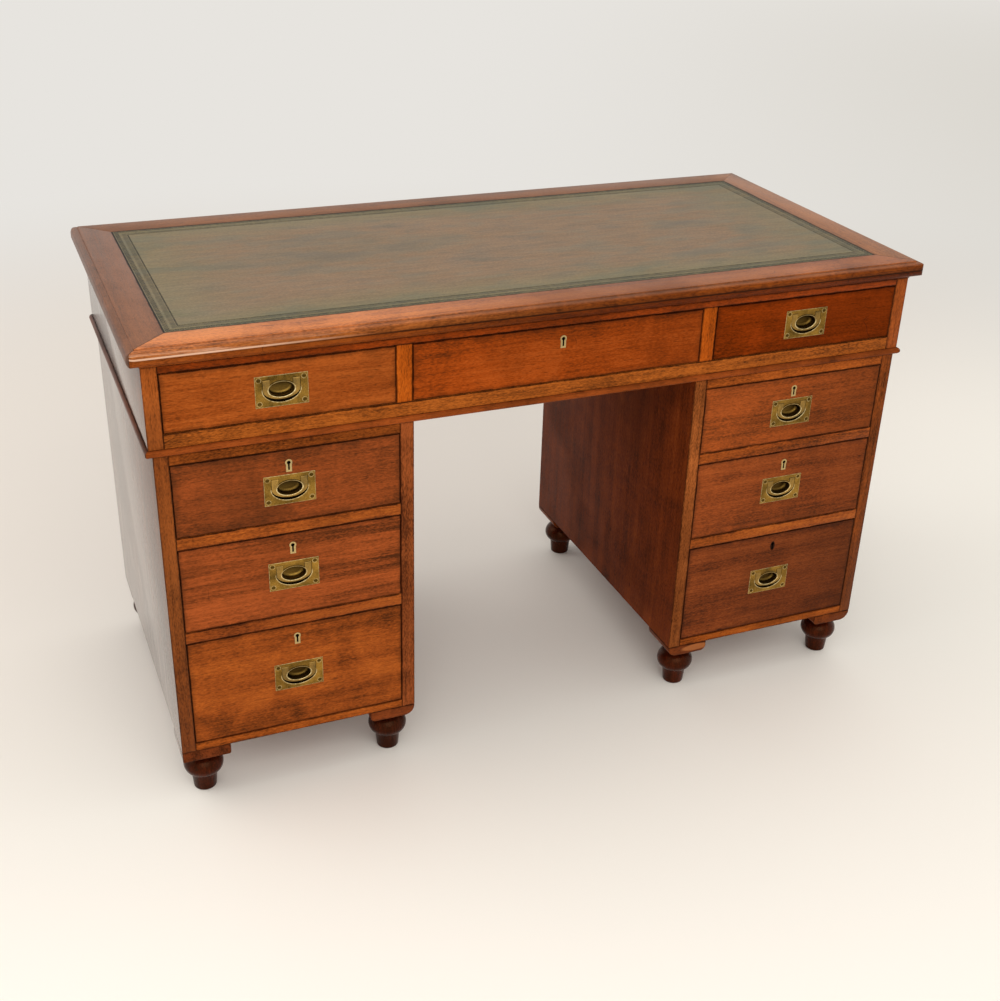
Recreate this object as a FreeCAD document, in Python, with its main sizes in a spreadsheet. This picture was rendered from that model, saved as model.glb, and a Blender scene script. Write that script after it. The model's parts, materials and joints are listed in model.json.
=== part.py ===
# Campaign desk. Two pedestals of three drawers stand on turned feet and carry a lift-off top section,
# which holds three shallow drawers under a leather-lined writing top.
# Millimetres. The origin is on the floor under the middle of the desk, the front faces -Y, and +Z is up.
import FreeCAD
import Part
import Sketcher
import math
import os
import re

# Driving dimensions. Each is written once here and goes into the spreadsheet under the same name.
SIZES = {
    # whole desk
    "overallWidth": 1270,
    "overallDepth": 604,
    "overallHeight": 763,
    # writing top
    "topOverhang": 18,
    "borderWidth": 60,
    "borderThickness": 30,
    "borderCornerRound": 13,
    "topStepLedge": 2,
    "topStepHeight": 2,
    "noseRadius": 10,
    "noseFlat": 4,
    "underNoseRadius": 8,
    "fasciaLedge": 9,
    "panelThickness": 20,
    "tongueLength": 8,
    "tongueThickness": 8,
    "leatherThickness": 1.4,
    "leatherSink": 0.2,
    # top section
    "upperHeight": 132,
    "endThickness": 22,
    "upperBackThickness": 12,
    "partitionThickness": 24,
    "upperOpeningWidth": 334,
    "lowerRailHeight": 32,
    "lowerRailThickness": 22,
    "upperRailHeight": 11,
    "upperRailDepth": 44,
    "dustBoardThickness": 12,
    "kickerWidth": 24,
    "beadHeight": 11,
    "beadProjection": 5,
    "bearerWidth": 60,
    # pedestals
    "pedestalWidth": 377,
    "pedestalInset": 5,
    "sideThickness": 21,
    "topBoardThickness": 16,
    "bottomBoardThickness": 14,
    "backThickness": 10,
    "railHeight": 19,
    "railDepth": 60,
    "runnerWidth": 25,
    "runnerThickness": 14,
    "topDrawerOpening": 116,
    "middleDrawerOpening": 140,
    "pegRadius": 6,
    "pegRise": 12,
    "pegChamfer": 2,
    "pegInset": 40,
    "pegSpacing": 360,
    "pegClearance": 0.5,
    # foot blocks and turned feet
    "blockThickness": 19,
    "blockLength": 75,
    "blockEdge": 1.5,
    "blockEndRound": 10,
    "plainBlockRound": 3,
    "footInset": 36,
    "footBottomRadius": 18,
    "footBottomRound": 3,
    "collarRadius": 20.5,
    "collarHeight": 29,
    "bunRadius": 31.3,
    "bunLowerHeight": 16.5,
    "bunUpperHeight": 18.5,
    "neckRadius": 19,
    "neckHeight": 12,
    "dowelRadius": 11,
    "dowelBite": 8,
    "dowelClearance": 0.2,
    # drawers
    "drawerBackGap": 27.6,
    "frontThickness": 19,
    "frontSetback": 0.4,
    "frontArris": 1.2,
    "frontSideGap": 1.2,
    "frontTopGap": 1.5,
    "frontBottomGap": 1.2,
    "runningGap": 0.3,
    "drawerSideThickness": 9,
    "drawerSideClearance": 0.8,
    "drawerSideTopGap": 4,
    "drawerBackThickness": 8,
    "drawerBackDrop": 6,
    "drawerBottomThickness": 6,
    "drawerBottomLift": 9,
    "grooveDepth": 4,
    "tailCount": 3,
    "tailLength": 13,
    "tailMargin": 3,
    "pinNarrow": 4,
    "pinWide": 9,
    "stopWidth": 30,
    "stopDepth": 20,
    "stopHeight": 5,
    "stopInset": 50,
    # swing handles and their plates
    "plateSideMargin": 11,
    "plateEndMargin": 5.9,
    "plateThickness": 2.4,
    "plateProud": 0.3,
    "plateClearance": 0.15,
    "castingWall": 1.4,
    "eyeRise": 1.3,
    "ovalWidth": 36.6,
    "ovalHeight": 22,
    "ovalRim": 1.5,
    "wellInset": 0.6,
    "wellDepth": 12,
    "wellRound": 5,
    "tongueInset": 2.2,
    "tongueSetback": 0.9,
    "tongueClearance": 0.8,
    "ringClearance": 0.4,
    "ringLeg": 8.3,
    "ringRim": 3.5,
    "ringThickness": 3.6,
    "ringSetback": 0.2,
    "ringBackGap": 0.8,
    "fingerGap": 4.2,
    "ringArris": 0.5,
    "ovalArris": 1.0,
    "plateArris": 0.4,
    "hingeAboveOval": 3.1,
    "hingePinRadius": 0.9,
    "hingePinClearance": 0.05,
    "hingePinGrip": 3,
    "plateBelowKeyhole": 3.9,
    "handleDrop": 1,
    # handle screws
    "screwInset": 5.8,
    "screwHeadRadius": 3.1,
    "screwHeadDepth": 1.8,
    "screwShankRadius": 1.5,
    "screwLength": 13,
    "screwClearance": 0.1,
    "slotWidth": 0.9,
    "slotDepth": 0.8,
    # locks
    "lockWidth": 54,
    "lockBelowKeyhole": 3.7,
    "lockThickness": 10,
    "lockWall": 1.6,
    "boltWidth": 20,
    "boltHeight": 14,
    "boltThickness": 5,
    "boltClearance": 0.2,
    "boltSink": 0.3,
    "boltMortiseDepth": 7,
    "boltMortiseClearance": 1,
    "keyDrop": 21,
    "keyholeRadius": 2.8,
    "keyholeSlotWidth": 2.6,
    "keyholeSlotDrop": 11.8,
    "keyCavityWidth": 18,
    "keyCavityMargin": 4,
    "keyPostRadius": 1.2,
    "escutcheonRadius": 5.2,
    "escutcheonFootWidth": 8.6,
    "escutcheonDrop": 14.6,
    "escutcheonDepth": 3,
    "escutcheonProud": 0.2,
    "escutcheonClearance": 0.1,
    # how far a cutting block runs past the wood that it cuts
    "cutExtra": 1,
}

# Places worked out from the driving dimensions.
PLACES = {
    "caseHalf": "overallWidth / 2 - topOverhang",
    "caseBack": "overallDepth / 2 - topOverhang",
    "caseFront": "0 - caseBack",
    "upperTop": "overallHeight - borderThickness",
    "pedestalTop": "upperTop - upperHeight",
    "bunWidestHeight": "collarHeight + bunLowerHeight",
    "bunTop": "bunWidestHeight + bunUpperHeight",
    "footHeight": "bunTop + neckHeight",
    "blockRound": "blockThickness - blockEdge",
    "pedestalBase": "footHeight + blockThickness",
    "pedestalCentre": "caseHalf - pedestalInset - pedestalWidth / 2",
    "pedestalInner": "pedestalCentre - pedestalWidth / 2",
    "pedestalOpening": "pedestalWidth - 2 * sideThickness",
    "pedestalBackInner": "caseBack - backThickness",
    "topDrawerHigh": "pedestalTop - topBoardThickness",
    "topDrawerLow": "topDrawerHigh - topDrawerOpening",
    "middleDrawerHigh": "topDrawerLow - railHeight",
    "middleDrawerLow": "middleDrawerHigh - middleDrawerOpening",
    "bottomDrawerHigh": "middleDrawerLow - railHeight",
    "bottomDrawerLow": "pedestalBase + bottomBoardThickness",
    "pegPlace": "pedestalInner + pegInset",
    "endInner": "caseHalf - endThickness",
    "upperBackInner": "caseBack - upperBackThickness",
    "partitionOuter": "endInner - upperOpeningWidth",
    "partitionInner": "partitionOuter - partitionThickness",
    "upperDrawerLow": "pedestalTop + lowerRailHeight",
    "upperDrawerHigh": "upperTop - upperRailHeight",
    "upperDrawerCentre": "endInner - upperOpeningWidth / 2",
    "beadArc": "(beadProjection ^ 2 + (beadHeight / 2) ^ 2) / (2 * beadProjection)",
    "dustBoardLow": "upperDrawerLow - dustBoardThickness",
    "lowerRailBack": "caseFront + lowerRailThickness",
    "upperRailBack": "caseFront + upperRailDepth",
    "topStepInset": "noseRadius + topStepLedge",
    "panelHalfWidth": "overallWidth / 2 - borderWidth",
    "panelHalfDepth": "overallDepth / 2 - borderWidth",
    "leatherTop": "overallHeight - leatherSink",
    "panelTop": "leatherTop - leatherThickness",
    "panelLow": "panelTop - panelThickness",
    "tongueLow": "panelLow + (panelThickness - tongueThickness) / 2",
    "frontFace": "caseFront + frontSetback",
    "frontBack": "frontFace + frontThickness",
    "drawerRear": "pedestalBackInner - drawerBackGap",
    "footPlaceFront": "caseFront + footInset",
    "footPlaceBack": "caseBack - footInset",
    "dowelTop": "pedestalBase + dowelBite",
    "bunLowerArc": "((bunRadius - collarRadius) ^ 2 + (bunWidestHeight - collarHeight) ^ 2)"
                   " / (2 * (bunRadius - collarRadius))",
    "bunUpperArc": "((bunRadius - neckRadius) ^ 2 + (bunTop - bunWidestHeight) ^ 2)"
                   " / (2 * (bunRadius - neckRadius))",
    "keyBelowTop": "keyDrop - frontTopGap",
    "lockHeight": "keyBelowTop + keyholeSlotDrop + lockBelowKeyhole",
    "lockFront": "frontBack - lockThickness",
    "handleFace": "frontFace - plateProud",
    "hingeDepth": "ringSetback + ringThickness / 2",
    "hingeRise": "eyeRise + ovalHeight / 2 + hingeAboveOval",
    "ringDrop": "ovalHeight / 2 + ringRim",
    "tongueWidth": "ovalWidth - 2 * tongueInset",
    "recessWidth": "ovalWidth + 2 * (ringLeg + ringClearance)",
    "recessDrop": "ringDrop + fingerGap",
    "recessDepth": "ringSetback + ringThickness + ringBackGap",
    "recessTop": "hingeRise + ringThickness / 2 + ringClearance",
    "plateWidth": "recessWidth + 2 * plateSideMargin",
    "plateHeight": "2 * (recessTop + plateEndMargin)",
    "topHandleHeight": "topDrawerHigh - keyDrop - escutcheonDrop - plateBelowKeyhole - plateHeight / 2",
    "castingDepth": "recessDepth + castingWall",
    "castingHalf": "recessWidth / 2 + castingWall",
    "screwAcross": "plateWidth / 2 - screwInset",
    "screwUp": "plateHeight / 2 - screwInset",
}

TOLERANCE = 0.001  # how near two places lie that count as one

doc = FreeCAD.newDocument("campaign_desk")
sheet = doc.addObject("Spreadsheet::Sheet", "dims")
nodes = []


def fillSheet():
    for row, (name, size) in enumerate(SIZES.items(), start=1):
        sheet.set(f"A{row}", name)
        sheet.set(f"B{row}", str(size))
        sheet.setAlias(f"B{row}", name)
    doc.recompute()


def formula(text):
    # Turns plain names into spreadsheet cells, with each place written out in full.
    def expand(match):
        name = match.group()
        if name in PLACES:
            return f"({formula(PLACES[name])})"
        return f"dims.{name}" if name in SIZES else name
    return re.sub(r"[A-Za-z]\w*", expand, text)


def sizeOf(text):
    return float(sheet.evalExpression(formula(text)))


def bind(item, **formulas):
    for name, text in formulas.items():
        item.setExpression(name, formula(text))


def place(item, x="0", y="0", z="0", turn=None):
    if turn:
        item.Placement = FreeCAD.Placement(FreeCAD.Vector(), turn)
    for axis, text in zip("xyz", (x, y, z)):
        item.setExpression(f"Placement.Base.{axis}", formula(text))
    return item


TURN_TO = {
    "x": FreeCAD.Rotation(FreeCAD.Vector(0, 1, 0), 90),
    "y": FreeCAD.Rotation(FreeCAD.Vector(1, 0, 0), -90),
    "z": FreeCAD.Rotation(),
}


def span(centre, half):
    return (f"{centre} - ({half})", f"{centre} + ({half})")


def board(name, x, y, z):
    # A block between a low and a high formula on each axis.
    item = doc.addObject("Part::Box", name)
    place(item, x[0], y[0], z[0])
    bind(item, Length=f"({x[1]}) - ({x[0]})", Width=f"({y[1]}) - ({y[0]})", Height=f"({z[1]}) - ({z[0]})")
    return item


def rod(name, axis, at, length, radius):
    item = doc.addObject("Part::Cylinder", name)
    place(item, *at, turn=TURN_TO[axis])
    bind(item, Height=length, Radius=radius)
    return item


def cone(name, axis, at, length, startRadius, endRadius):
    item = doc.addObject("Part::Cone", name)
    place(item, *at, turn=TURN_TO[axis])
    bind(item, Height=length, Radius1=startRadius, Radius2=endRadius)
    return item


def ovalRod(name, y, centreZ, halfWidth, halfHeight):
    # An oval disc in the X-Z plane, from the first to the second depth in y.
    outline = doc.addObject("Part::Ellipse", name + "Outline")
    place(outline, "0", y[0], centreZ, turn=FreeCAD.Rotation(FreeCAD.Vector(1, 0, 0), 90))
    bind(outline, MajorRadius=halfWidth, MinorRadius=halfHeight)
    item = doc.addObject("Part::Extrusion", name)
    item.Base = outline
    item.DirMode = "Custom"
    item.Dir = FreeCAD.Vector(0, 1, 0)
    item.Solid = True
    bind(item, LengthFwd=f"({y[1]}) - ({y[0]})")
    return item


def fuse(name, items):
    item = doc.addObject("Part::MultiFuse", name)
    item.Shapes = items
    item.Refine = True
    return item


def cut(name, base, tools):
    item = doc.addObject("Part::Cut", name)
    item.Base = base
    item.Tool = tools[0] if len(tools) == 1 else fuse(name + "Tools", tools)
    item.Refine = True
    return item


def common(name, base, tool):
    item = doc.addObject("Part::Common", name)
    item.Base = base
    item.Tool = tool
    return item


def group(name, items, x="0", y="0", z="0", turn=None):
    item = doc.addObject("Part::Compound", name)
    item.Links = items
    return place(item, x, y, z, turn)


def mirrored(name, source, normal):
    item = doc.addObject("Part::Mirroring", name)
    item.Source = source
    item.Normal = normal
    return item


def rounded(name, base, radius, chosen):
    # Rounds the edges that the test chooses.
    doc.recompute()
    radius = sizeOf(radius)
    item = doc.addObject("Part::Fillet", name)
    item.Base = base
    item.Edges = [(i, radius, radius) for i, edge in enumerate(base.Shape.Edges, start=1) if chosen(edge)]
    return item


def node(label, items, **where):
    item = group(label, items, **where)
    item.Label = label
    nodes.append(item)
    return item


def originPlane(body, role):
    return next(plane for plane in body.Origin.OriginFeatures if plane.Role == role)


def arcThrough(start, end, radius, side):
    # The arc from start to end whose centre lies on the left (1) or right (-1) of that run.
    chord = end - start
    middle = (start + end) * 0.5
    rise = math.sqrt(max(radius ** 2 - (chord.Length / 2) ** 2, 0))
    left = FreeCAD.Vector(-chord.y, chord.x, 0).normalize()
    centre = middle + left * rise * side
    angles = [math.atan2(point.y - centre.y, point.x - centre.x) for point in (start, end)]
    if side < 0:
        angles.reverse()
    return Part.ArcOfCircle(Part.Circle(centre, FreeCAD.Vector(0, 0, 1), radius), *angles)


def profileSketch(body, planeRole, corners):
    # Each corner is (u, v) or (u, v, radius, side), where radius and side shape the arc that follows it.
    sketch = body.newObject("Sketcher::SketchObject", body.Name + "Sketch")
    sketch.AttachmentSupport = (originPlane(body, planeRole), [""])
    sketch.MapMode = "FlatFace"
    points = [FreeCAD.Vector(sizeOf(corner[0]), sizeOf(corner[1]), 0) for corner in corners]
    startEnds = []
    for i, corner in enumerate(corners):
        start, end = points[i], points[(i + 1) % len(points)]
        if len(corner) == 2:
            sketch.addGeometry(Part.LineSegment(start, end), False)
            startEnds.append((1, 2))
        else:
            sketch.addGeometry(arcThrough(start, end, sizeOf(corner[2]), corner[3]), False)
            startEnds.append((1, 2) if corner[3] > 0 else (2, 1))
    for i, corner in enumerate(corners):
        nextOne = (i + 1) % len(corners)
        joined = (i, startEnds[i][1], nextOne, startEnds[nextOne][0])
        sketch.addConstraint(Sketcher.Constraint("Coincident", *joined))
        for kind, axis, text, size in (("DistanceX", -2, corner[0], points[i].x),
                                       ("DistanceY", -1, corner[1], points[i].y)):
            if abs(size) < TOLERANCE:
                sketch.addConstraint(Sketcher.Constraint("PointOnObject", i, startEnds[i][0], axis))
                continue
            rule = sketch.addConstraint(Sketcher.Constraint(kind, -1, 1, i, startEnds[i][0], size))
            sketch.setExpression(f"Constraints[{rule}]", formula(text))
        if len(corner) > 2:
            rule = sketch.addConstraint(Sketcher.Constraint("Radius", i, sizeOf(corner[2])))
            sketch.setExpression(f"Constraints[{rule}]", formula(corner[2]))
    return sketch


def paddedBody(name, planeRole, corners, length):
    # The profile extruded half its length to each side of its plane.
    body = doc.addObject("PartDesign::Body", name)
    sketch = profileSketch(body, planeRole, corners)
    pad = body.newObject("PartDesign::Pad", name + "Pad")
    pad.Profile = sketch
    pad.SideType = "Symmetric"
    bind(pad, Length=length)
    return body


def turnedBody(name, corners):
    body = doc.addObject("PartDesign::Body", name)
    sketch = profileSketch(body, "XZ_Plane", corners)
    turned = body.newObject("PartDesign::Revolution", name + "Turning")
    turned.Profile = sketch
    turned.ReferenceAxis = (sketch, ["V_Axis"])
    turned.Angle = 360
    return body


def mitreWedge(name, outer, inner, width, z, x, y, turn):
    # A flat wedge: outer is its low and high end at local y = 0, inner the same at local y = width.
    item = doc.addObject("Part::Wedge", name)
    bind(item, Ymin="0", Ymax=width, Xmin=outer[0], Xmax=outer[1], X2min=inner[0], X2max=inner[1],
         Zmin="0", Zmax=z[1], Z2min="0", Z2max=z[1])
    return place(item, x, y, z[0], turn)


QUARTER_TURN = FreeCAD.Rotation(FreeCAD.Vector(0, 0, 1), -90)
HALF_TURN = FreeCAD.Rotation(FreeCAD.Vector(0, 0, 1), 180)


# ---- writing top

def topEdgeProfile():
    # From the inner bottom corner round the moulded edge; u runs inwards from the nose, v up.
    noseTop = "borderThickness - topStepHeight - noseRadius"
    noseLow = f"{noseTop} - noseFlat"
    underNose = f"{noseLow} - underNoseRadius"
    fascia = "underNoseRadius + fasciaLedge"
    return [
        (fascia, "0"),
        ("borderWidth", "0"),
        ("borderWidth", "borderThickness"),
        ("topStepInset", "borderThickness"),
        ("topStepInset", "borderThickness - topStepHeight"),
        ("noseRadius", "borderThickness - topStepHeight", "noseRadius", 1),
        ("0", noseTop),
        ("0", noseLow, "underNoseRadius", 1),
        ("underNoseRadius", underNose),
        (fascia, underNose),
    ]


def makeTopBorder():
    profile = topEdgeProfile()
    frontStrip = place(paddedBody("frontBorderStrip", "YZ_Plane", profile, "overallWidth"),
                       "0", "0 - overallDepth / 2", "upperTop")
    sideStrip = place(paddedBody("sideBorderStrip", "XZ_Plane", profile, "overallDepth"),
                      "0 - overallWidth / 2", "0", "upperTop")
    frontWedge = mitreWedge("frontMitre", ("0 - overallWidth / 2", "overallWidth / 2"),
                            span("0", "panelHalfWidth"), "borderWidth",
                            ("upperTop", "borderThickness"), "0", "0 - overallDepth / 2", None)
    sideWedge = mitreWedge("sideMitre", ("0 - overallDepth / 2", "overallDepth / 2"),
                           span("0", "panelHalfDepth"), "borderWidth",
                           ("upperTop", "borderThickness"), "0 - overallWidth / 2", "0", QUARTER_TURN)
    outline = board("cornerBlock", span("0", "overallWidth / 2"), span("0", "overallDepth / 2"),
                    ("upperTop", "overallHeight"))
    outline = rounded("cornerRounding", outline, "borderCornerRound", isUpright)
    groove = panelTongue("borderGroove")
    pieces = []
    for side, strip, wedge, normal in (("front", frontStrip, frontWedge, FreeCAD.Vector(0, 1, 0)),
                                       ("side", sideStrip, sideWedge, FreeCAD.Vector(1, 0, 0))):
        mitredStrip = common(side + "MitredStrip", strip, wedge)
        roundedStrip = common(side + "RoundedStrip", mitredStrip, outline)
        piece = cut(side + "BorderPiece", roundedStrip, [groove])
        pieces += [piece, mirrored(side + "BorderMirrored", piece, normal)]
    return node("top_border", pieces)


def isUpright(edge):
    low, high = edge.BoundBox.ZMin, edge.BoundBox.ZMax
    return high - low > max(edge.BoundBox.XLength, edge.BoundBox.YLength)


def panelTongue(name):
    return board(name, span("0", "panelHalfWidth + tongueLength"), span("0", "panelHalfDepth + tongueLength"),
                 ("tongueLow", "tongueLow + tongueThickness"))


def makeTopPanel():
    panel = board("panelBoard", span("0", "panelHalfWidth"),
                  span("0", "panelHalfDepth"), ("panelLow", "panelTop"))
    tongued = fuse("tonguedPanel", [panel, panelTongue("panelTongue")])
    supports = [board("panelBattenLeft", ("0 - panelHalfWidth", "0 - panelHalfWidth + kickerWidth"),
                      span("0", "panelHalfDepth"), ("upperTop", "panelLow")),
                board("panelBattenRight", ("panelHalfWidth - kickerWidth", "panelHalfWidth"),
                      span("0", "panelHalfDepth"), ("upperTop", "panelLow"))]
    for side, sign in (("Left", "-1"), ("Right", "1")):
        middle = f"{sign} * (partitionOuter + partitionInner) / 2"
        supports.append(board("panelBattenInner" + side, span(middle, "kickerWidth / 2"),
                              span("0", "panelHalfDepth"), ("upperTop", "panelLow")))
    return node("top_panel", [tongued] + supports)


def makeWritingLeather():
    leather = board("leatherSheet", span("0", "panelHalfWidth"),
                    span("0", "panelHalfDepth"), ("panelTop", "leatherTop"))
    return node("writing_leather", [leather])


# ---- top section

def makeTopCasePanels():
    panels = []
    for side, sign in (("left", "-1"), ("right", "1")):
        centre = f"{sign} * (caseHalf - endThickness / 2)"
        panels.append(board(side + "End", span(centre, "endThickness / 2"),
                            ("caseFront", "caseBack"), ("pedestalTop", "upperTop")))
        middle = f"{sign} * (partitionOuter + partitionInner) / 2"
        panels.append(board(side + "Partition", span(middle, "partitionThickness / 2"),
                            ("caseFront", "upperBackInner"), ("upperDrawerLow", "upperDrawerHigh")))
    panels.append(board("upperBack", span("0", "endInner"), ("upperBackInner", "caseBack"),
                        ("pedestalTop", "upperTop")))
    panels.append(board("dustBoard", span("0", "endInner"), ("lowerRailBack", "upperBackInner"),
                        ("dustBoardLow", "upperDrawerLow")))
    return node("top_case_panels", panels)


def makeTopCaseRails():
    lowerRail = board("lowerRail", span("0", "endInner"), ("caseFront", "lowerRailBack"),
                      ("pedestalTop", "upperDrawerLow"))
    upperRail = board("upperRail", span("0", "endInner"), ("caseFront", "upperRailBack"),
                      ("upperDrawerHigh", "upperTop"))
    rails = [lowerRail, cut("mortisedUpperRail", upperRail, [boltMortise("centre", "0", "upperDrawerHigh")])]
    for side, sign in (("left", "-1"), ("right", "1")):
        outer = f"{sign} * (endInner - kickerWidth / 2)"
        inner = f"{sign} * (partitionOuter + partitionInner) / 2"
        for name, centre in (("OuterKicker", outer), ("InnerKicker", inner)):
            rails.append(board(side + name, span(centre, "kickerWidth / 2"),
                               ("upperRailBack", "upperBackInner"), ("upperDrawerHigh", "upperTop")))
        bearer = board(side + "Bearer", span(f"{sign} * pegPlace", "bearerWidth / 2"),
                       ("lowerRailBack", "upperBackInner"), ("pedestalTop", "dustBoardLow"))
        sockets = [rod(f"{side}Socket{i}", "z", (x, y, "pedestalTop - cutExtra"),
                       "pegRise + pegClearance + cutExtra", "pegRadius + pegClearance")
                   for i, (x, y) in enumerate(pegPlaces(sign))]
        rails.append(cut(side + "SocketedBearer", bearer, sockets))
    for name, centre, width in (("left", "0 - upperDrawerCentre", "upperOpeningWidth"),
                                ("centre", "0", "2 * partitionInner"),
                                ("right", "upperDrawerCentre", "upperOpeningWidth")):
        rails += drawerStops("upper" + name, centre, width, "upperDrawerLow")
    return node("top_case_rails", rails)


def makeWaistMoulding():
    # A half-round bead along the foot of the top section, mitred at the two front corners.
    profile = [("beadProjection", "0"), ("beadProjection", "beadHeight", "beadArc", 1)]
    outerHalf = "caseHalf + beadProjection"
    outerFront = "caseBack + beadProjection"
    height = ("pedestalTop", "beadHeight")
    frontStrip = place(paddedBody("frontBeadStrip", "YZ_Plane", profile, f"2 * ({outerHalf})"),
                       "0", "caseFront - beadProjection", "pedestalTop")
    frontWedge = mitreWedge("frontBeadMitre", (f"0 - ({outerHalf})", outerHalf), ("0 - caseHalf", "caseHalf"),
                            "beadProjection", height, "0", "caseFront - beadProjection", None)
    sideStrip = place(paddedBody("sideBeadStrip", "XZ_Plane", profile, f"2 * ({outerFront})"),
                      f"0 - ({outerHalf})", "0", "pedestalTop")
    sideWedge = mitreWedge("sideBeadMitre", ("0 - caseBack", outerFront), ("0 - caseBack", "caseBack"),
                           "beadProjection", height, f"0 - ({outerHalf})", "0", QUARTER_TURN)
    side = common("leftBead", sideStrip, sideWedge)
    return node("waist_moulding", [common("frontBead", frontStrip, frontWedge), side,
                                   mirrored("rightBead", side, FreeCAD.Vector(1, 0, 0))])


# ---- pedestals

def makePedestal(side, sign):
    centre = f"({sign} * pedestalCentre)"
    innerLow, innerHigh = span(centre, "pedestalOpening / 2")
    low, high = span(centre, "pedestalWidth / 2")
    tall = ("pedestalBase", "pedestalTop")
    deep = ("caseFront", "caseBack")
    dowelHole = "dowelTop - footHeight + 2 * cutExtra"
    dowels = [rod(f"{side}Dowel{i}", "z", (x, y, "footHeight - cutExtra"), dowelHole,
                  "dowelRadius + dowelClearance") for i, (x, y) in enumerate(footPlaces(centre))]
    outer = [board(side + "SideA", (low, innerLow), deep, tall),
             board(side + "SideB", (innerHigh, high), deep, tall),
             board(side + "Back", (innerLow, innerHigh), ("pedestalBackInner", "caseBack"), tall)]
    topBoard = board(side + "TopBoard", (innerLow, innerHigh), ("caseFront", "pedestalBackInner"),
                     ("topDrawerHigh", "pedestalTop"))
    pegs = pegPlaces(sign)
    holes = [rod(f"{side}PegHole{i}", "z", (x, y, "topDrawerHigh - cutExtra"),
                 "topBoardThickness + 2 * cutExtra", "pegRadius") for i, (x, y) in enumerate(pegs)]
    mortise = boltMortise(side + "Top", centre, "topDrawerHigh")
    topBoard = cut(side + "DrilledTopBoard", topBoard, holes + [mortise])
    bottomBoard = board(side + "BottomBoard", (innerLow, innerHigh), ("caseFront", "pedestalBackInner"),
                        ("pedestalBase", "bottomDrawerLow"))
    panels = group(side + "Panels", outer + [topBoard, bottomBoard])
    node(side + "_pedestal_panels", [cut(side + "DrilledPanels", panels, dowels)])
    rails = []
    for name, railLow in (("Upper", "middleDrawerHigh"), ("Lower", "bottomDrawerHigh")):
        railTop = f"{railLow} + railHeight"
        rail = board(f"{side}{name}Rail", (innerLow, innerHigh), ("caseFront", "caseFront + railDepth"),
                     (railLow, railTop))
        rails.append(cut(f"{side}{name}MortisedRail", rail, [boltMortise(side + name, centre, railLow)]))
        behindRail = ("caseFront + railDepth", "pedestalBackInner")
        for end, runner in (("A", (innerLow, f"{innerLow} + runnerWidth")),
                            ("B", (f"{innerHigh} - runnerWidth", innerHigh))):
            rails.append(board(f"{side}{name}Runner{end}", runner, behindRail,
                               (f"{railTop} - runnerThickness", railTop)))
    for name, low in (("Top", "topDrawerLow"), ("Middle", "middleDrawerLow"), ("Bottom", "bottomDrawerLow")):
        rails += drawerStops(side + name, centre, "pedestalOpening", low)
    for i, (x, y) in enumerate(pegs):
        shank = rod(f"{side}PegShank{i}", "z", (x, y, "topDrawerHigh"),
                    "topBoardThickness + pegRise - pegChamfer", "pegRadius")
        tip = cone(f"{side}PegTip{i}", "z", (x, y, "pedestalTop + pegRise - pegChamfer"), "pegChamfer",
                   "pegRadius", "pegRadius - pegChamfer / 2")
        rails.append(fuse(f"{side}Peg{i}", [shank, tip]))
    node(side + "_pedestal_rails", rails)
    return dowels


def pegPlaces(sign):
    return [(f"{sign} * pegPlace", f"{along} * pegSpacing / 2") for along in ("-1", "1")]


def footPlaces(centre):
    reach = "(pedestalWidth / 2 - footInset)"
    return [(f"{centre} {way} {reach}", y) for y in ("footPlaceFront", "footPlaceBack") for way in "-+"]


def drawerStops(name, centre, width, floor):
    # Two small blocks behind the drawer front stop it flush with the case.
    stops = []
    for end, way in (("A", "-"), ("B", "+")):
        middle = f"{centre} {way} (({width}) / 2 - stopInset)"
        stops.append(board(f"{name}Stop{end}", span(middle, "stopWidth / 2"),
                           ("frontBack + runningGap", "frontBack + runningGap + stopDepth"),
                           (floor, f"{floor} + stopHeight")))
    return stops


def boltMortise(name, centre, underside):
    # The pocket in a rail's underside that a lock bolt rises into.
    boltLow = "lockFront + lockWall + boltClearance"
    return board(name + "BoltMortise",
                 span(centre, "boltWidth / 2 + boltMortiseClearance"),
                 (f"{boltLow} - boltMortiseClearance", f"{boltLow} + boltThickness + boltMortiseClearance"),
                 (f"{underside} - cutExtra", f"{underside} + boltMortiseDepth"))


def blockProfile(outerRound, endRound):
    # Front view of a foot block, from its outer side inwards, with both lower corners rounded.
    return [
        (outerRound, "0"),
        (f"blockLength - {endRound}", "0", endRound, 1),
        ("blockLength", endRound),
        ("blockLength", "blockThickness"),
        ("0", "blockThickness"),
        ("0", outerRound, outerRound, 1),
    ]


def makeFootBlocks(dowels):
    shapedOutline = blockProfile("blockRound", "blockEndRound")
    plainOutline = blockProfile("plainBlockRound", "plainBlockRound")
    shaped = paddedBody("footBlock", "XZ_Plane", shapedOutline, "blockLength")
    plain = paddedBody("plainFootBlock", "XZ_Plane", plainOutline, "blockLength")
    blocks = []
    for side, sign in (("left", "-1"), ("right", "1")):
        centre = f"{sign} * pedestalCentre"
        for end, y in (("Front", "caseFront + blockLength / 2"), ("Back", "caseBack - blockLength / 2")):
            first = plain if (side, end) == ("left", "Front") else shaped
            low, high = span(centre, "pedestalWidth / 2")
            blocks.append(group(f"{side}{end}BlockA", [first], low, y, "footHeight"))
            blocks.append(group(f"{side}{end}BlockB", [shaped], high, y, "footHeight", HALF_TURN))
    return node("foot_blocks", [cut("drilledBlocks", group("blockSet", blocks), dowels)])


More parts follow.
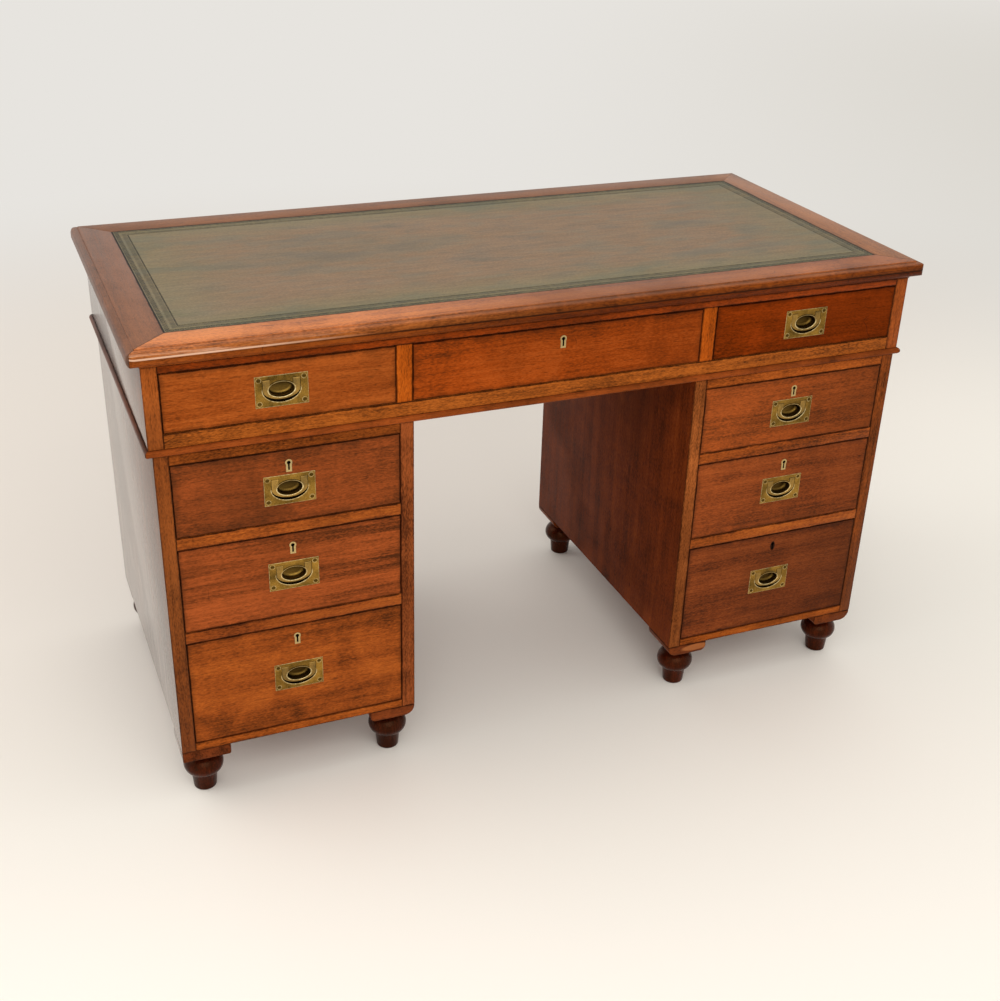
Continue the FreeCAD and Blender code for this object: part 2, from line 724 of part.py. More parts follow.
def makeTurnedFeet():
    foot = turnedBody("turnedFoot", [
        ("0", "0"),
        ("footBottomRadius - footBottomRound", "0", "footBottomRound", 1),
        ("footBottomRadius", "footBottomRound"),
        ("collarRadius", "collarHeight", "bunLowerArc", 1),
        ("bunRadius", "bunWidestHeight", "bunUpperArc", 1),
        ("neckRadius", "bunTop"),
        ("neckRadius", "footHeight"),
        ("dowelRadius", "footHeight"),
        ("dowelRadius", "dowelTop"),
        ("0", "dowelTop"),
    ])
    feet = []
    for side, sign in (("left", "-1"), ("right", "1")):
        for i, (x, y) in enumerate(footPlaces(f"({sign} * pedestalCentre)")):
            feet.append(group(f"{side}Foot{i}", [foot], x, y))
    return node("turned_feet", feet)


# ---- handles: local origin at the middle of the plate's face, y into the wood

def dShape(name, y, halfWidth, top, drop):
    # Straight sides above the eye's middle and half an oval below it.
    across = span("0", halfWidth)
    upper = board(name + "Upper", across, y, ("eyeRise", top))
    lowerHalf = board(name + "LowerHalf", across, y, (f"eyeRise - {drop}", "eyeRise"))
    lower = common(name + "Lower", ovalRod(name + "Oval", y, "eyeRise", halfWidth, drop), lowerHalf)
    return fuse(name, [upper, lower])


def tongueShape(name, y, halfWidth, top, rim):
    # The strip between the ring's two ears, hollowed underneath to follow the oval.
    strip = board(name + "Strip", span("0", halfWidth), y, ("eyeRise", top))
    hollow = ovalRod(name + "Hollow", (f"{y[0]} - cutExtra", f"{y[1]} + cutExtra"), "eyeRise",
                     f"ovalWidth / 2 + {rim}", f"ovalHeight / 2 + {rim}")
    return cut(name, strip, [hollow])


def screwPlaces():
    return [(f"{across} * screwAcross", f"{up} * screwUp") for across in ("-1", "1") for up in ("-1", "1")]


def makeHandlePlate():
    flange = board("plateFlange", span("0", "plateWidth / 2"), ("0", "plateThickness"),
                   span("0", "plateHeight / 2"))
    back = board("castingBack", span("0", "castingHalf"), ("0", "castingDepth"),
                 ("eyeRise - recessDrop - castingWall", "recessTop + castingWall"))
    cup = ovalRod("castingCup", ("0", "wellDepth + castingWall"), "eyeRise",
                  "ovalWidth / 2 - wellInset + castingWall", "ovalHeight / 2 - wellInset + castingWall")
    recessBlank = dShape("recessShape", ("0 - cutExtra", "recessDepth"), "recessWidth / 2", "recessTop",
                         "recessDrop")
    # The tongue stands back from the plate's face, so that the ring's upper rim swings past it.
    tongue = tongueShape("plateTongue", ("tongueSetback", "recessDepth + cutExtra"), "tongueWidth / 2",
                         "recessTop + cutExtra", "(ovalRim + tongueClearance)")
    recess = cut("ringRecess", recessBlank, [tongue])
    well = ovalRod("fingerWell", ("0", "wellDepth"), "eyeRise", "ovalWidth / 2 - wellInset",
                   "ovalHeight / 2 - wellInset")
    wellFloor = sizeOf("wellDepth")
    roundWell = rounded("roundWell", well, "wellRound",
                        lambda edge: edge.BoundBox.YMin > wellFloor - TOLERANCE)
    tools = [recess, roundWell]
    for i, (x, z) in enumerate(screwPlaces()):
        tools.append(cone(f"countersink{i}", "y", (x, "0", z), "screwHeadDepth",
                          "screwHeadRadius + screwClearance", "screwShankRadius + screwClearance"))
        tools.append(rod(f"screwHole{i}", "y", (x, "0", z), "castingDepth",
                         "screwShankRadius + screwClearance"))
    pins = []
    for name, start in (("Left", "0 - castingHalf"), ("Right", "tongueWidth / 2 - hingePinGrip")):
        at = (start, "hingeDepth", "hingeRise")
        length = "castingHalf - tongueWidth / 2 + hingePinGrip"
        tools.append(rod(f"pinSeat{name}", "x", at, length, "hingePinRadius + hingePinClearance"))
        pins.append(rod(f"hingePin{name}", "x", at, length, "hingePinRadius"))
    casting = cut("handleCasting", fuse("castingBlank", [flange, back, cup]), tools)
    screwLine = sizeOf("screwAcross - screwHeadRadius") - 1

    def isArris(edge):
        # The plate's outline and the recess's edge, on its face, but not the countersinks.
        box = edge.BoundBox
        nearScrew = box.XMin > screwLine or box.XMax < -screwLine
        isCircle = box.XLength > TOLERANCE and box.ZLength > TOLERANCE
        return box.YMax < TOLERANCE and not (nearScrew and isCircle)

    return [rounded("softCasting", casting, "plateArris", isArris)] + pins + makeScrews()


def makeScrews():
    screws = []
    for i, (x, z) in enumerate(screwPlaces()):
        head = cone(f"screwHead{i}", "y", (x, "0", z), "screwHeadDepth", "screwHeadRadius",
                    "screwShankRadius")
        shank = rod(f"screwShank{i}", "y", (x, "screwHeadDepth", z), "screwLength - screwHeadDepth",
                    "screwShankRadius")
        slot = board(f"screwSlot{i}", span(x, "screwHeadRadius"), ("0 - cutExtra", "slotDepth"),
                     span(z, "slotWidth / 2"))
        screws.append(cut(f"screw{i}", fuse(f"screwBlank{i}", [head, shank]), [slot]))
    return screws


def makeHandleRing():
    depth = ("ringSetback", "ringSetback + ringThickness")
    through = ("0 - cutExtra", "ringSetback + ringThickness + cutExtra")
    halfWidth = "recessWidth / 2 - ringClearance"
    blank = dShape("ringBlank", depth, halfWidth, "hingeRise", "ringDrop")
    knuckle = rod("ringKnuckle", "x", (f"0 - ({halfWidth})", "hingeDepth", "hingeRise"), f"2 * ({halfWidth})",
                  "ringThickness / 2")
    notch = tongueShape("ringNotch", through, "tongueWidth / 2 + ringClearance", "recessTop + cutExtra",
                        "ovalRim")
    eye = ovalRod("ringEye", through, "eyeRise", "ovalWidth / 2", "ovalHeight / 2")
    bore = rod("ringBore", "x", ("0 - recessWidth / 2", "hingeDepth", "hingeRise"), "recessWidth",
               "hingePinRadius + hingePinClearance")
    ring = cut("ringCut", fuse("ringSolid", [blank, knuckle]), [notch, eye, bore])
    face = sizeOf("ringSetback")
    eyeSpan = sizeOf("ovalWidth")

    def onFace(edge):
        return edge.BoundBox.YMax < face + TOLERANCE

    def isEye(edge):
        return onFace(edge) and abs(edge.BoundBox.XLength - eyeSpan) < TOLERANCE

    def isRim(edge):
        # The lower half of the ring's outline.
        return onFace(edge) and edge.BoundBox.ZMin < lowest + TOLERANCE

    softEye = rounded("ringSoftEye", ring, "ovalArris", isEye)
    lowest = sizeOf("eyeRise - ringDrop")
    return rounded("ringSoftRim", softEye, "ringArris", isRim)


def handlePocket():
    # What the drawer front loses to take a plate, its casting and its screws.
    around = "plateClearance"
    flange = board("pocketFlange", span("0", f"plateWidth / 2 + {around}"),
                   ("0 - cutExtra", "plateThickness"), span("0", f"plateHeight / 2 + {around}"))
    back = board("pocketBack", span("0", f"castingHalf + {around}"),
                 ("0", f"castingDepth + {around}"),
                 (f"eyeRise - recessDrop - castingWall - {around}", f"recessTop + castingWall + {around}"))
    halfWidth = f"(ovalWidth / 2 - wellInset + castingWall + {around})"
    halfHeight = f"(ovalHeight / 2 - wellInset + castingWall + {around})"
    cup = board("pocketCup", span("0", halfWidth), ("0", f"wellDepth + castingWall + {around}"),
                span("eyeRise", halfHeight))
    holes = [rod(f"pilotHole{i}", "y", (x, "0", z), "screwLength + screwClearance",
                 "screwShankRadius + screwClearance") for i, (x, z) in enumerate(screwPlaces())]
    return fuse("handlePocket", [flange, back, cup] + holes)


# ---- locks: local origin at the middle of the front's top edge, y = 0 on the lock's front

def keyholeShape(name, y):
    # Local z = 0 is the middle of the keyhole's round head.
    head = rod(name + "Head", "y", ("0", y[0], "0"), f"({y[1]}) - ({y[0]})", "keyholeRadius")
    slot = board(name + "Slot", span("0", "keyholeSlotWidth / 2"), y, ("0 - keyholeSlotDrop", "0"))
    return fuse(name, [head, slot])


def makeLockCase():
    case = board("lockBlank", span("0", "lockWidth / 2"), ("0", "lockThickness"), ("0 - lockHeight", "0"))
    boltSpace = board("boltSpace", span("0", "boltWidth / 2 + boltClearance"),
                      ("lockWall", "lockWall + boltThickness + 2 * boltClearance"),
                      ("0 - boltSink - boltHeight - boltClearance", "cutExtra"))
    keySpace = board("keySpace", span("0", "keyCavityWidth / 2"),
                     ("lockWall", "lockThickness - lockWall"),
                     ("0 - lockHeight + lockWall", "0 - keyBelowTop + keyCavityMargin"))
    keyholeCut = keyholeShape("lockKeyholeShape", ("0 - cutExtra", "lockWall + cutExtra"))
    keyhole = group("lockKeyhole", [keyholeCut], z="0 - keyBelowTop")
    post = rod("keyPost", "y", ("0", "lockWall", "0 - keyBelowTop"), "lockThickness - 2 * lockWall",
               "keyPostRadius")
    return [cut("lockCase", case, [boltSpace, keySpace, keyhole]), post]


def makeLockBolt():
    return board("lockBolt", span("0", "boltWidth / 2"),
                 ("lockWall + boltClearance", "lockWall + boltClearance + boltThickness"),
                 ("0 - boltSink - boltHeight", "0 - boltSink"))


def lockPocket():
    return board("lockPocket", span("0", "lockWidth / 2"), ("0", "lockThickness + cutExtra"),
                 ("0 - lockHeight", "cutExtra"))


def escutcheonShape(name, y, grow="0"):
    head = rod(name + "Head", "y", ("0", y[0], "0"), f"({y[1]}) - ({y[0]})", f"escutcheonRadius + {grow}")
    foot = board(name + "Foot", span("0", f"escutcheonFootWidth / 2 + {grow}"), y,
                 (f"0 - escutcheonDrop - {grow}", "0"))
    return fuse(name, [head, foot])


def makeEscutcheon():
    return cut("escutcheon", escutcheonShape("escutcheonBlank", ("0", "escutcheonDepth")),
               [keyholeShape("escutcheonKeyhole", ("0 - cutExtra", "escutcheonDepth + cutExtra"))])


# ---- drawers

def drawer(name, centre, width, low, high, handleHeight=None, hasLock=False, hasEscutcheon=False):
    return {"name": name, "centre": centre, "width": width, "low": low, "high": high,
            "handleHeight": handleHeight, "hasLock": hasLock, "hasEscutcheon": hasEscutcheon}


def handleInMiddle(low, high):
    return f"({low} + {high}) / 2 - handleDrop"


def allDrawers():
    drawers = []
    for side, sign in (("left", "-1"), ("right", "1")):
        centre = f"({sign} * pedestalCentre)"
        for level in ("top", "middle", "bottom"):
            low, high = f"{level}DrawerLow", f"{level}DrawerHigh"
            handleHeight = "topHandleHeight" if level == "top" else handleInMiddle(low, high)
            bare = (side, level) == ("right", "bottom")
            drawers.append(drawer(f"{side}_{level}", centre, "pedestalOpening", low, high,
                                  handleHeight, True, not bare))
        low, high = "upperDrawerLow", "upperDrawerHigh"
        drawers.append(drawer(f"upper_{side}", f"({sign} * upperDrawerCentre)", "upperOpeningWidth",
                              low, high, handleInMiddle(low, high)))
    drawers.append(drawer("centre", "0", "(2 * partitionInner)", "upperDrawerLow", "upperDrawerHigh",
                          None, True, True))
    return drawers


def drawerTails(item, x, name):
    # Dovetails on the front end of a drawer side, let into the back of the drawer front.
    tails = []
    floor = f"({item['low']} + runningGap + drawerBottomLift + drawerBottomThickness + tailMargin)"
    top = f"({item['high']} - drawerSideTopGap - tailMargin)"
    pitch = f"(({top} - {floor}) / tailCount)"
    for i in range(int(sizeOf("tailCount"))):
        middle = f"{floor} + {pitch} * ({i} + 0.5)"
        tail = doc.addObject("Part::Wedge", f"{name}Tail{i}")
        bind(tail, Xmin="0", Xmax="drawerSideThickness", X2min="0", X2max="drawerSideThickness",
             Ymin="0", Ymax="tailLength",
             Zmin=f"(pinNarrow - {pitch}) / 2", Zmax=f"({pitch} - pinNarrow) / 2",
             Z2min=f"(pinWide - {pitch}) / 2", Z2max=f"({pitch} - pinWide) / 2")
        tails.append(place(tail, x, "frontBack - tailLength", middle))
    return tails


def makeDrawer(item, parts):
    name, centre, high = item["name"], item["centre"], item["high"]
    half = f"({item['width']}) / 2"
    floor = f"{item['low']} + runningGap"
    outer = f"({half} - drawerSideClearance)"
    inner = f"({outer} - drawerSideThickness)"
    sideTop = f"{high} - drawerSideTopGap"
    slot = (f"{floor} + drawerBottomLift", f"{floor} + drawerBottomLift + drawerBottomThickness")
    bottomSpan = span(centre, f"{inner} + grooveDepth")
    groove = board(name + "Groove", bottomSpan, ("frontBack - grooveDepth", "drawerRear"), slot)
    sides, tails = [], []
    for end, x in (("A", f"{centre} - {outer}"), ("B", f"{centre} + {inner}")):
        plank = board(f"{name}Side{end}", (x, f"{x} + drawerSideThickness"), ("frontBack", "drawerRear"),
                      (floor, sideTop))
        ownTails = drawerTails(item, x, name + end)
        tails += ownTails
        tailed = fuse(f"{name}TailedSide{end}", [plank] + ownTails)
        sides.append(cut(f"{name}GroovedSide{end}", tailed, [groove]))
    back = board(name + "Back", span(centre, inner),
                 ("drawerRear - drawerBackThickness", "drawerRear"), (slot[1], f"{sideTop} - drawerBackDrop"))
    bottom = board(name + "Bottom", bottomSpan, ("frontBack - grooveDepth", "drawerRear"), slot)
    node(name + "_drawer_box", sides + [back, bottom])
    makeDrawerFront(item, parts, tails + [groove])


def makeDrawerFront(item, parts, tools):
    name, centre, high = item["name"], item["centre"], item["high"]
    half = f"({item['width']}) / 2"
    frontTop = f"{high} - frontTopGap"
    keyHeight = f"{high} - keyDrop"
    blank = board(name + "FrontBlank", span(centre, f"{half} - frontSideGap"),
                  ("frontFace", "frontBack"), (f"{item['low']} + frontBottomGap", frontTop))
    face = sizeOf("frontFace")
    softened = rounded(name + "SoftFront", blank, "frontArris",
                       lambda edge: edge.BoundBox.YMax < face + TOLERANCE)
    if item["handleHeight"]:
        where = {"x": centre, "y": "handleFace", "z": item["handleHeight"]}
        tools.append(group(name + "HandlePocket", [parts["handlePocket"]], **where))
        node(name + "_handle_plate", parts["handlePlate"], **where)
        node(name + "_handle_ring", [parts["handleRing"]], **where)
    if item["hasLock"]:
        where = {"x": centre, "y": "lockFront", "z": frontTop}
        tools.append(group(name + "LockPocket", [parts["lockPocket"]], **where))
        tools.append(group(name + "Keyway", [parts["keyway"]], centre, "frontFace", keyHeight))
        fittings = [group(name + "LockBody", parts["lockCase"], **where)]
        if item["hasEscutcheon"]:
            tools.append(group(name + "EscutcheonSeat", [parts["escutcheonSeat"]], centre, "frontFace",
                               keyHeight))
            fittings.append(group(name + "Escutcheon", [parts["escutcheon"]], centre,
                                  "frontFace - escutcheonProud", keyHeight))
        node(name + "_lock", fittings)
        node(name + "_lock_bolt", [parts["lockBolt"]], **where)
    node(name + "_drawer_front", [cut(name + "FittedFront", softened, tools)])


def sharedParts():
    return {
        "handlePlate": makeHandlePlate(),
        "handleRing": makeHandleRing(),
        "handlePocket": handlePocket(),
        "lockCase": makeLockCase(),
        "lockBolt": makeLockBolt(),
        "lockPocket": lockPocket(),
        "keyway": keyholeShape("keyway", ("0 - cutExtra", "frontThickness - lockThickness + cutExtra")),
        "escutcheon": makeEscutcheon(),
        "escutcheonSeat": escutcheonShape(
            "escutcheonSeat", ("0 - cutExtra", "escutcheonDepth - escutcheonProud"), "escutcheonClearance"),
    }


def exportNodes():
    os.makedirs("parts", exist_ok=True)
    failed = [item.Name for item in doc.Objects if {"Invalid", "Error"} & set(item.State)]
    if failed:
        raise RuntimeError(f"objects not built: {failed}")
    for item in nodes:
        if item.Shape.isNull() or not item.Shape.isValid() or not item.Shape.Solids:
            raise RuntimeError(f"{item.Label} is not a valid shape")
    for item in nodes:
        item.Shape.exportStep(f"parts/{item.Label}.step")
        print(f"{item.Label}: {len(item.Shape.Solids)} solids, {item.Shape.Volume / 1000:.1f} cm3")
    print(f"{len(nodes)} nodes")


def main():
    fillSheet()
    makeTopBorder()
    makeTopPanel()
    makeWritingLeather()
    makeTopCasePanels()
    makeTopCaseRails()
    makeWaistMoulding()
    dowels = makePedestal("left", "-1") + makePedestal("right", "1")
    makeFootBlocks(dowels)
    makeTurnedFeet()
    parts = sharedParts()
    for item in allDrawers():
        makeDrawer(item, parts)
    doc.recompute()
    exportNodes()


main()
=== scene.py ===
import json
import math
import random

import bpy
import numpy as np
from mathutils import Matrix, Vector

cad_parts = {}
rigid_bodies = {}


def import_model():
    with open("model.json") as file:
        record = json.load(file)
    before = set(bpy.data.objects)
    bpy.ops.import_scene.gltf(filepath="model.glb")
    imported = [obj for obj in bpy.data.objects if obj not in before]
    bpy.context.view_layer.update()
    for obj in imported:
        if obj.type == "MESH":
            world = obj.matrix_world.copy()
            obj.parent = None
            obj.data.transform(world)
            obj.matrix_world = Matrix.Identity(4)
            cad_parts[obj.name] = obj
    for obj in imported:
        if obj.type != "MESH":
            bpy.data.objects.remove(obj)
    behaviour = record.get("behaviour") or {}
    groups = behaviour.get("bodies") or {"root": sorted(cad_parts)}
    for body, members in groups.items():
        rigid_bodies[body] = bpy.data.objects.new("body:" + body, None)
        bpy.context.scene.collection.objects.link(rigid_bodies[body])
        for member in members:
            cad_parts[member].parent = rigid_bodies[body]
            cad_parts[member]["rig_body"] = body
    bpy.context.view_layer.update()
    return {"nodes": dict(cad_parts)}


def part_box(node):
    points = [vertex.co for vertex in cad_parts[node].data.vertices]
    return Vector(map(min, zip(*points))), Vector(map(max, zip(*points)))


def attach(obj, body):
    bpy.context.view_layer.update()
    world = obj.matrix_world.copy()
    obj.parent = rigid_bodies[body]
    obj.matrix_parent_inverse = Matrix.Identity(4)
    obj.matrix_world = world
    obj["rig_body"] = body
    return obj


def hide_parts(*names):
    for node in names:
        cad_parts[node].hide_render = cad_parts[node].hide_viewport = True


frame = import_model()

# Campaign desk in old polished mahogany with a tooled leather top and flush brass handles.
# Metres, floor at z = 0, the front faces -Y.
nodes = frame["nodes"]
bodyOf = {name: item["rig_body"] for name, item in nodes.items()}


def deselectAll():
    for item in bpy.context.scene.objects:
        item.select_set(False)


def pick(item):
    deselectAll()
    item.select_set(True)
    bpy.context.view_layer.objects.active = item


def hexColour(text):
    # a paint colour such as "96502a" as the linear values that a shader wants
    parts = [int(text[i:i + 2], 16) / 255 for i in (0, 2, 4)]
    return tuple(p / 12.92 if p < 0.04045 else ((p + 0.055) / 1.055) ** 2.4 for p in parts) + (1.0,)


class Shader:
    # the node tree of a new material or world, with one short call for each node
    def __init__(self, owner):
        self.owner = owner
        owner.use_nodes = True
        self.tree = owner.node_tree
        self.tree.nodes.clear()

    def feed(self, socket, value):
        if isinstance(value, bpy.types.NodeSocket):
            self.tree.links.new(value, socket)
        elif value is not None:
            socket.default_value = value

    def put(self, kind, inputs=(), **settings):
        node = self.tree.nodes.new(kind)
        for name, value in settings.items():
            setattr(node, name, value)
        for place, value in dict(inputs).items():
            self.feed(node.inputs[place], value)
        return node

    def objectPlace(self):
        return self.put("ShaderNodeTexCoord").outputs["Object"]

    def attribute(self, name, output="Vector"):
        return self.put("ShaderNodeAttribute", attribute_name=name).outputs[output]

    def stretch(self, place, scale, shift=(0, 0, 0), turn=(0, 0, 0)):
        inputs = {"Vector": place, "Scale": scale, "Location": shift, "Rotation": turn}
        return self.put("ShaderNodeMapping", inputs).outputs[0]

    def noise(self, place, scale=1.0, detail=2.0, rough=0.5, warp=0.0, coloured=False):
        inputs = {"Vector": place, "Scale": scale, "Detail": detail, "Roughness": rough, "Distortion": warp}
        return self.put("ShaderNodeTexNoise", inputs).outputs[1 if coloured else 0]

    def cells(self, place, scale=1.0):
        return self.put("ShaderNodeTexVoronoi", {"Vector": place, "Scale": scale}).outputs

    def maths(self, operation, a, b=None, c=None, clamp=False):
        inputs = {i: v for i, v in enumerate((a, b, c)) if v is not None}
        return self.put("ShaderNodeMath", inputs, operation=operation, use_clamp=clamp).outputs[0]

    def vectors(self, operation, a, b=None):
        inputs = {i: v for i, v in enumerate((a, b)) if v is not None}
        node = self.put("ShaderNodeVectorMath", inputs, operation=operation)
        return node.outputs["Value" if operation == "LENGTH" else "Vector"]

    def times(self, first, *others):
        for value in others:
            first = self.maths("MULTIPLY", first, value)
        return first

    def most(self, first, *others):
        for value in others:
            first = self.maths("MAXIMUM", first, value)
        return first

    def centred(self, value):
        # a noise or a fraction, from -0.5 to 0.5
        return self.maths("SUBTRACT", value, 0.5)

    def weighted(self, base, weights, **layers):
        # the base with each layer added at the weight of its name
        for name, layer in layers.items():
            base = self.maths("MULTIPLY_ADD", layer, weights[name], base)
        return base

    def held(self, value):
        # not below 0 and not above 1
        return self.maths("ADD", value, 0.0, clamp=True)

    def split(self, vector):
        return self.put("ShaderNodeSeparateXYZ", {0: vector}).outputs

    def join(self, x, y, z):
        return self.put("ShaderNodeCombineXYZ", {0: x, 1: y, 2: z}).outputs[0]

    def grey(self, value):
        return self.join(value, value, value)

    def band(self, value, low, high, bottom=0.0, top=1.0):
        # a smooth step from bottom to top as value goes from low to high
        inputs = {"Value": value, "From Min": low, "From Max": high, "To Min": bottom, "To Max": top}
        return self.put("ShaderNodeMapRange", inputs, interpolation_type="SMOOTHSTEP").outputs[0]

    def plateau(self, value, steps):
        # 1 in the middle: it rises between the first two steps and falls between the last two
        rise, top, edge, foot = steps
        return self.times(self.band(value, rise, top), self.band(value, edge, foot, 1, 0))

    def mix(self, factor, a, b, blend="MIX"):
        node = self.put("ShaderNodeMix", {0: factor, 6: a, 7: b}, data_type="RGBA", blend_type=blend)
        return node.outputs[2]

    def ramp(self, factor, stops):
        node = self.put("ShaderNodeValToRGB", {0: factor})
        elements = node.color_ramp.elements
        while len(elements) < len(stops):
            elements.new(0.5)
        for element, (place, colour) in zip(elements, stops):
            element.position = place
            element.color = colour
        return node.outputs[0]

    def bump(self, height, strength, distance):
        inputs = {"Height": height, "Strength": strength, "Distance": distance}
        return self.put("ShaderNodeBump", inputs).outputs[0]

    def finish(self, colour, roughness, normal=None, **fixed):
        skin = self.put("ShaderNodeBsdfPrincipled", {"Base Color": colour, "Roughness": roughness})
        self.feed(skin.inputs["Normal"], normal)
        for name, value in fixed.items():
            self.feed(skin.inputs[name], value)
        out = self.put("ShaderNodeOutputMaterial", {0: skin.outputs[0]})
        out.is_active_output = True
        return self.owner


woodGrain = {
    "bandScale": (1.6, 34, 34),
    "streakScale": (7, 190, 190),
    "broadScale": (3.0, 7, 7),
    "figureScale": (15, 9, 9),
    "fleckScale": (55, 520, 520),
    "poreScale": (160, 1500, 1500),
    "markScale": (15, 30, 30),
    "cloudScale": (6, 6, 6),
    "speckScale": (190, 620, 620),
    "wanderScale": (2.5, 9, 9),
    "scratchScale": (17, 26, 26),
    "scratchPatchScale": (30, 22, 22),
    "raggedScale": (45, 45, 45),
    "wander": 0.010,
    "poreDepth": 0.00014,
    "poreDark": 0.45,
    "bumpStrength": 0.4,
    "tonePlaces": (0.15, 0.5, 0.85),  # where the dark, middle and light colours stand in the tone
    # metres in from a face or an edge
    "frontEdge": (0.0006, 0.0016, 1, 0),
    "keyholeDepths": (0.0010, 0.0030, 0.0170, 0.0180),
    "keyholeInset": (0.012, 0.018),
    "leastMargin": 0.0005,
    "seamWidths": (0.00056, 0.0024),
    # where in its noise a mark comes up: from, to, and the strength at each end
    "fleckSpan": (0.56, 0.72),
    "poreSpan": (0.58, 0.70),
    "cloudSpan": (0.46, 0.72),
    "dentSpan": (0.02, 0.11, 1, 0),
    "dentChance": (0.72, 0.78),
    "scratchSpan": (0.002, 0.006, 1, 0),
    "scratchClouds": (0.0, 0.2, 0.2, 1),
    "scratchPatches": (0.58, 0.64),
    "stainSpan": (0.75, 1.1),
    "marginRagged": (0.25, 0.75),
    "marginSpan": (0.0, 1.6, 1, 0),
    "seamRagged": (0.3, 0.7),
    "seamSpan": (0.25, 1.0, 1, 0),
    # how much of each layer goes into the roughness and into the height of the surface
    "roughLayers": {"streaks": 0.16, "seam": 0.2, "clouds": 0.2},
    "heightLayers": {"streaks": 0.4, "pores": -0.8, "flecks": -0.5, "marks": -2.0},
    "markColour": hexColour("24100a"),
    "keyholeColour": hexColour("120806"),
    "seamColour": hexColour("220b05"),
}

borderNose = {
    # metres below the top: a mark rises between the first two depths and falls between the last two
    "stepDepths": (0.0006, 0.0016, 0.0022, 0.0036),
    "shineDepths": (0.0030, 0.0050, 0.0090, 0.0120),
    "streakDepths": (0.0094, 0.0106, 0.0120, 0.0128),
    "grooveDepths": (0.0116, 0.0127, 0.0140, 0.0152),
    "roundedDepths": (0.0022, 0.0060),
    "rollDepths": (0.0060, 0.0120),
    "underDepths": (0.0124, 0.0140),
    # along the desk or across it: from, to, and the strength at each end
    "stepAlong": (-0.50, -0.10, 0.4, 1.0),
    "shineAlong": (-0.52, -0.28, 0.75, 0),
    "grooveAlong": (-0.50, -0.20),
    "grooveLeft": 0.3,
    "mitreWidth": (0.0005, 0.0012, 1, 0),
    "mitreAcross": (-0.1, 0.1, 0.65, 0.25),
    "spotScale": (90, 120, 330),
    "lineScale": (7, 30, 330),
    "stepRagged": (0.35, 0.6, 0.3, 0.9),
    "spotSpan": (0.44, 0.60),
    "shineSpan": (0.46, 0.62, 0, 0.5),
    "streakSpan": (0.36, 0.50, 0.5, 1.0),
    "stepColour": hexColour("241009"),
    "hazeColour": hexColour("d0c4b8"),
    "grooveColour": hexColour("1c0c06"),
    "dirtColour": hexColour("2a120a"),
    "shineColour": hexColour("e8c0a4"),
    "mitreColour": hexColour("1c0b06"),
}


def slowShade(s, colour, where, shade):
    # a slow change of tone along one axis, lighter or darker towards one end; on the top border it also
    # carries painted sheen, a painted reflection and painted shade
    axis, low, high, stops = shade
    along = s.put("ShaderNodeMapRange", {"Value": s.split(where)[axis], "From Min": low, "From Max": high})
    levels = [(at, tuple(level) + (1,) if isinstance(level, tuple) else (level, level, level, 1))
              for at, level in stops]
    return s.mix(1.0, colour, s.ramp(along.outputs[0], levels), "MULTIPLY")


def noseWear(s, colour, where, ragged, looks):
    # dirt in the step round the top, worn spots along its rounded edge and a dark line at each mitre, with
    # painted light: painted sheen on the top, painted shade on the rounded edge and under it, a painted
    # shadow line where the roll ends, and painted highlights at the left
    n = borderNose
    x, y, z = s.split(where)[:3]
    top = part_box("top_border")[1]
    below = s.maths("SUBTRACT", top.z, z)
    dirt = s.times(s.plateau(below, n["stepDepths"]), s.band(ragged, *n["stepRagged"]),
                   s.band(x, *n["stepAlong"]), looks["stepDirt"])
    colour = s.mix(dirt, colour, n["stepColour"])
    rounded = s.band(below, *n["roundedDepths"])
    # painted sheen: a pale veil over the flat top, while the rounded edge gets the painted shade of noseShade
    hazy = s.mix(looks["haze"], colour, n["hazeColour"])
    colour = s.mix(rounded, hazy, slowShade(s, colour, where, looks["noseShade"]))
    # painted shade: the roll darkens as it turns down to the painted shadow line, and the wood under that
    # line gets more painted shade
    fade = s.band(below, *n["rollDepths"], 1.0, looks["rollFade"])
    colour = s.mix(1.0, colour, s.grey(fade), "MULTIPLY")
    under = s.band(below, *n["underDepths"])
    colour = s.mix(under, colour, s.mix(1.0, colour, looks["underTint"], "MULTIPLY"))
    # painted shadow: a dark line where the roll ends, weaker at the left
    groove = s.times(s.plateau(below, n["grooveDepths"]),
                     s.band(x, *n["grooveAlong"], looks["groove"] * n["grooveLeft"], looks["groove"]))
    colour = s.mix(groove, colour, n["grooveColour"])
    spots = s.noise(s.stretch(where, n["spotScale"]), 1, 4, 0.7)
    worn = s.times(rounded, s.band(spots, *n["spotSpan"]))
    if looks["noseAlong"]:
        worn = s.times(worn, s.band(x, *looks["noseAlong"]))
    colour = s.mix(s.times(worn, looks["noseDirt"]), colour, n["dirtColour"])
    if looks["noseAlong"]:
        # painted highlight: broken pale lines along the rounded edge at the left end
        lines = s.noise(s.stretch(where, n["lineScale"]), 1, 4, 0.6)
        shine = s.times(s.plateau(below, n["shineDepths"]), s.band(lines, *n["shineSpan"]))
        streak = s.times(s.plateau(below, n["streakDepths"]), s.band(lines, *n["streakSpan"]))
        shine = s.times(s.most(shine, streak), s.band(x, *n["shineAlong"]))
        colour = s.mix(shine, colour, n["shineColour"])
    fromEnd = s.maths("SUBTRACT", top.x, s.maths("ABSOLUTE", x))
    fromFront = s.maths("SUBTRACT", top.y, s.maths("ABSOLUTE", y))
    away = s.maths("ABSOLUTE", s.maths("SUBTRACT", fromEnd, fromFront))
    mitre = s.times(s.band(away, *n["mitreWidth"]), s.band(y, *n["mitreAcross"]))
    return s.mix(mitre, colour, n["mitreColour"])


def toneRamp(s, tone, colours):
    return s.ramp(tone, list(zip(woodGrain["tonePlaces"], colours)))


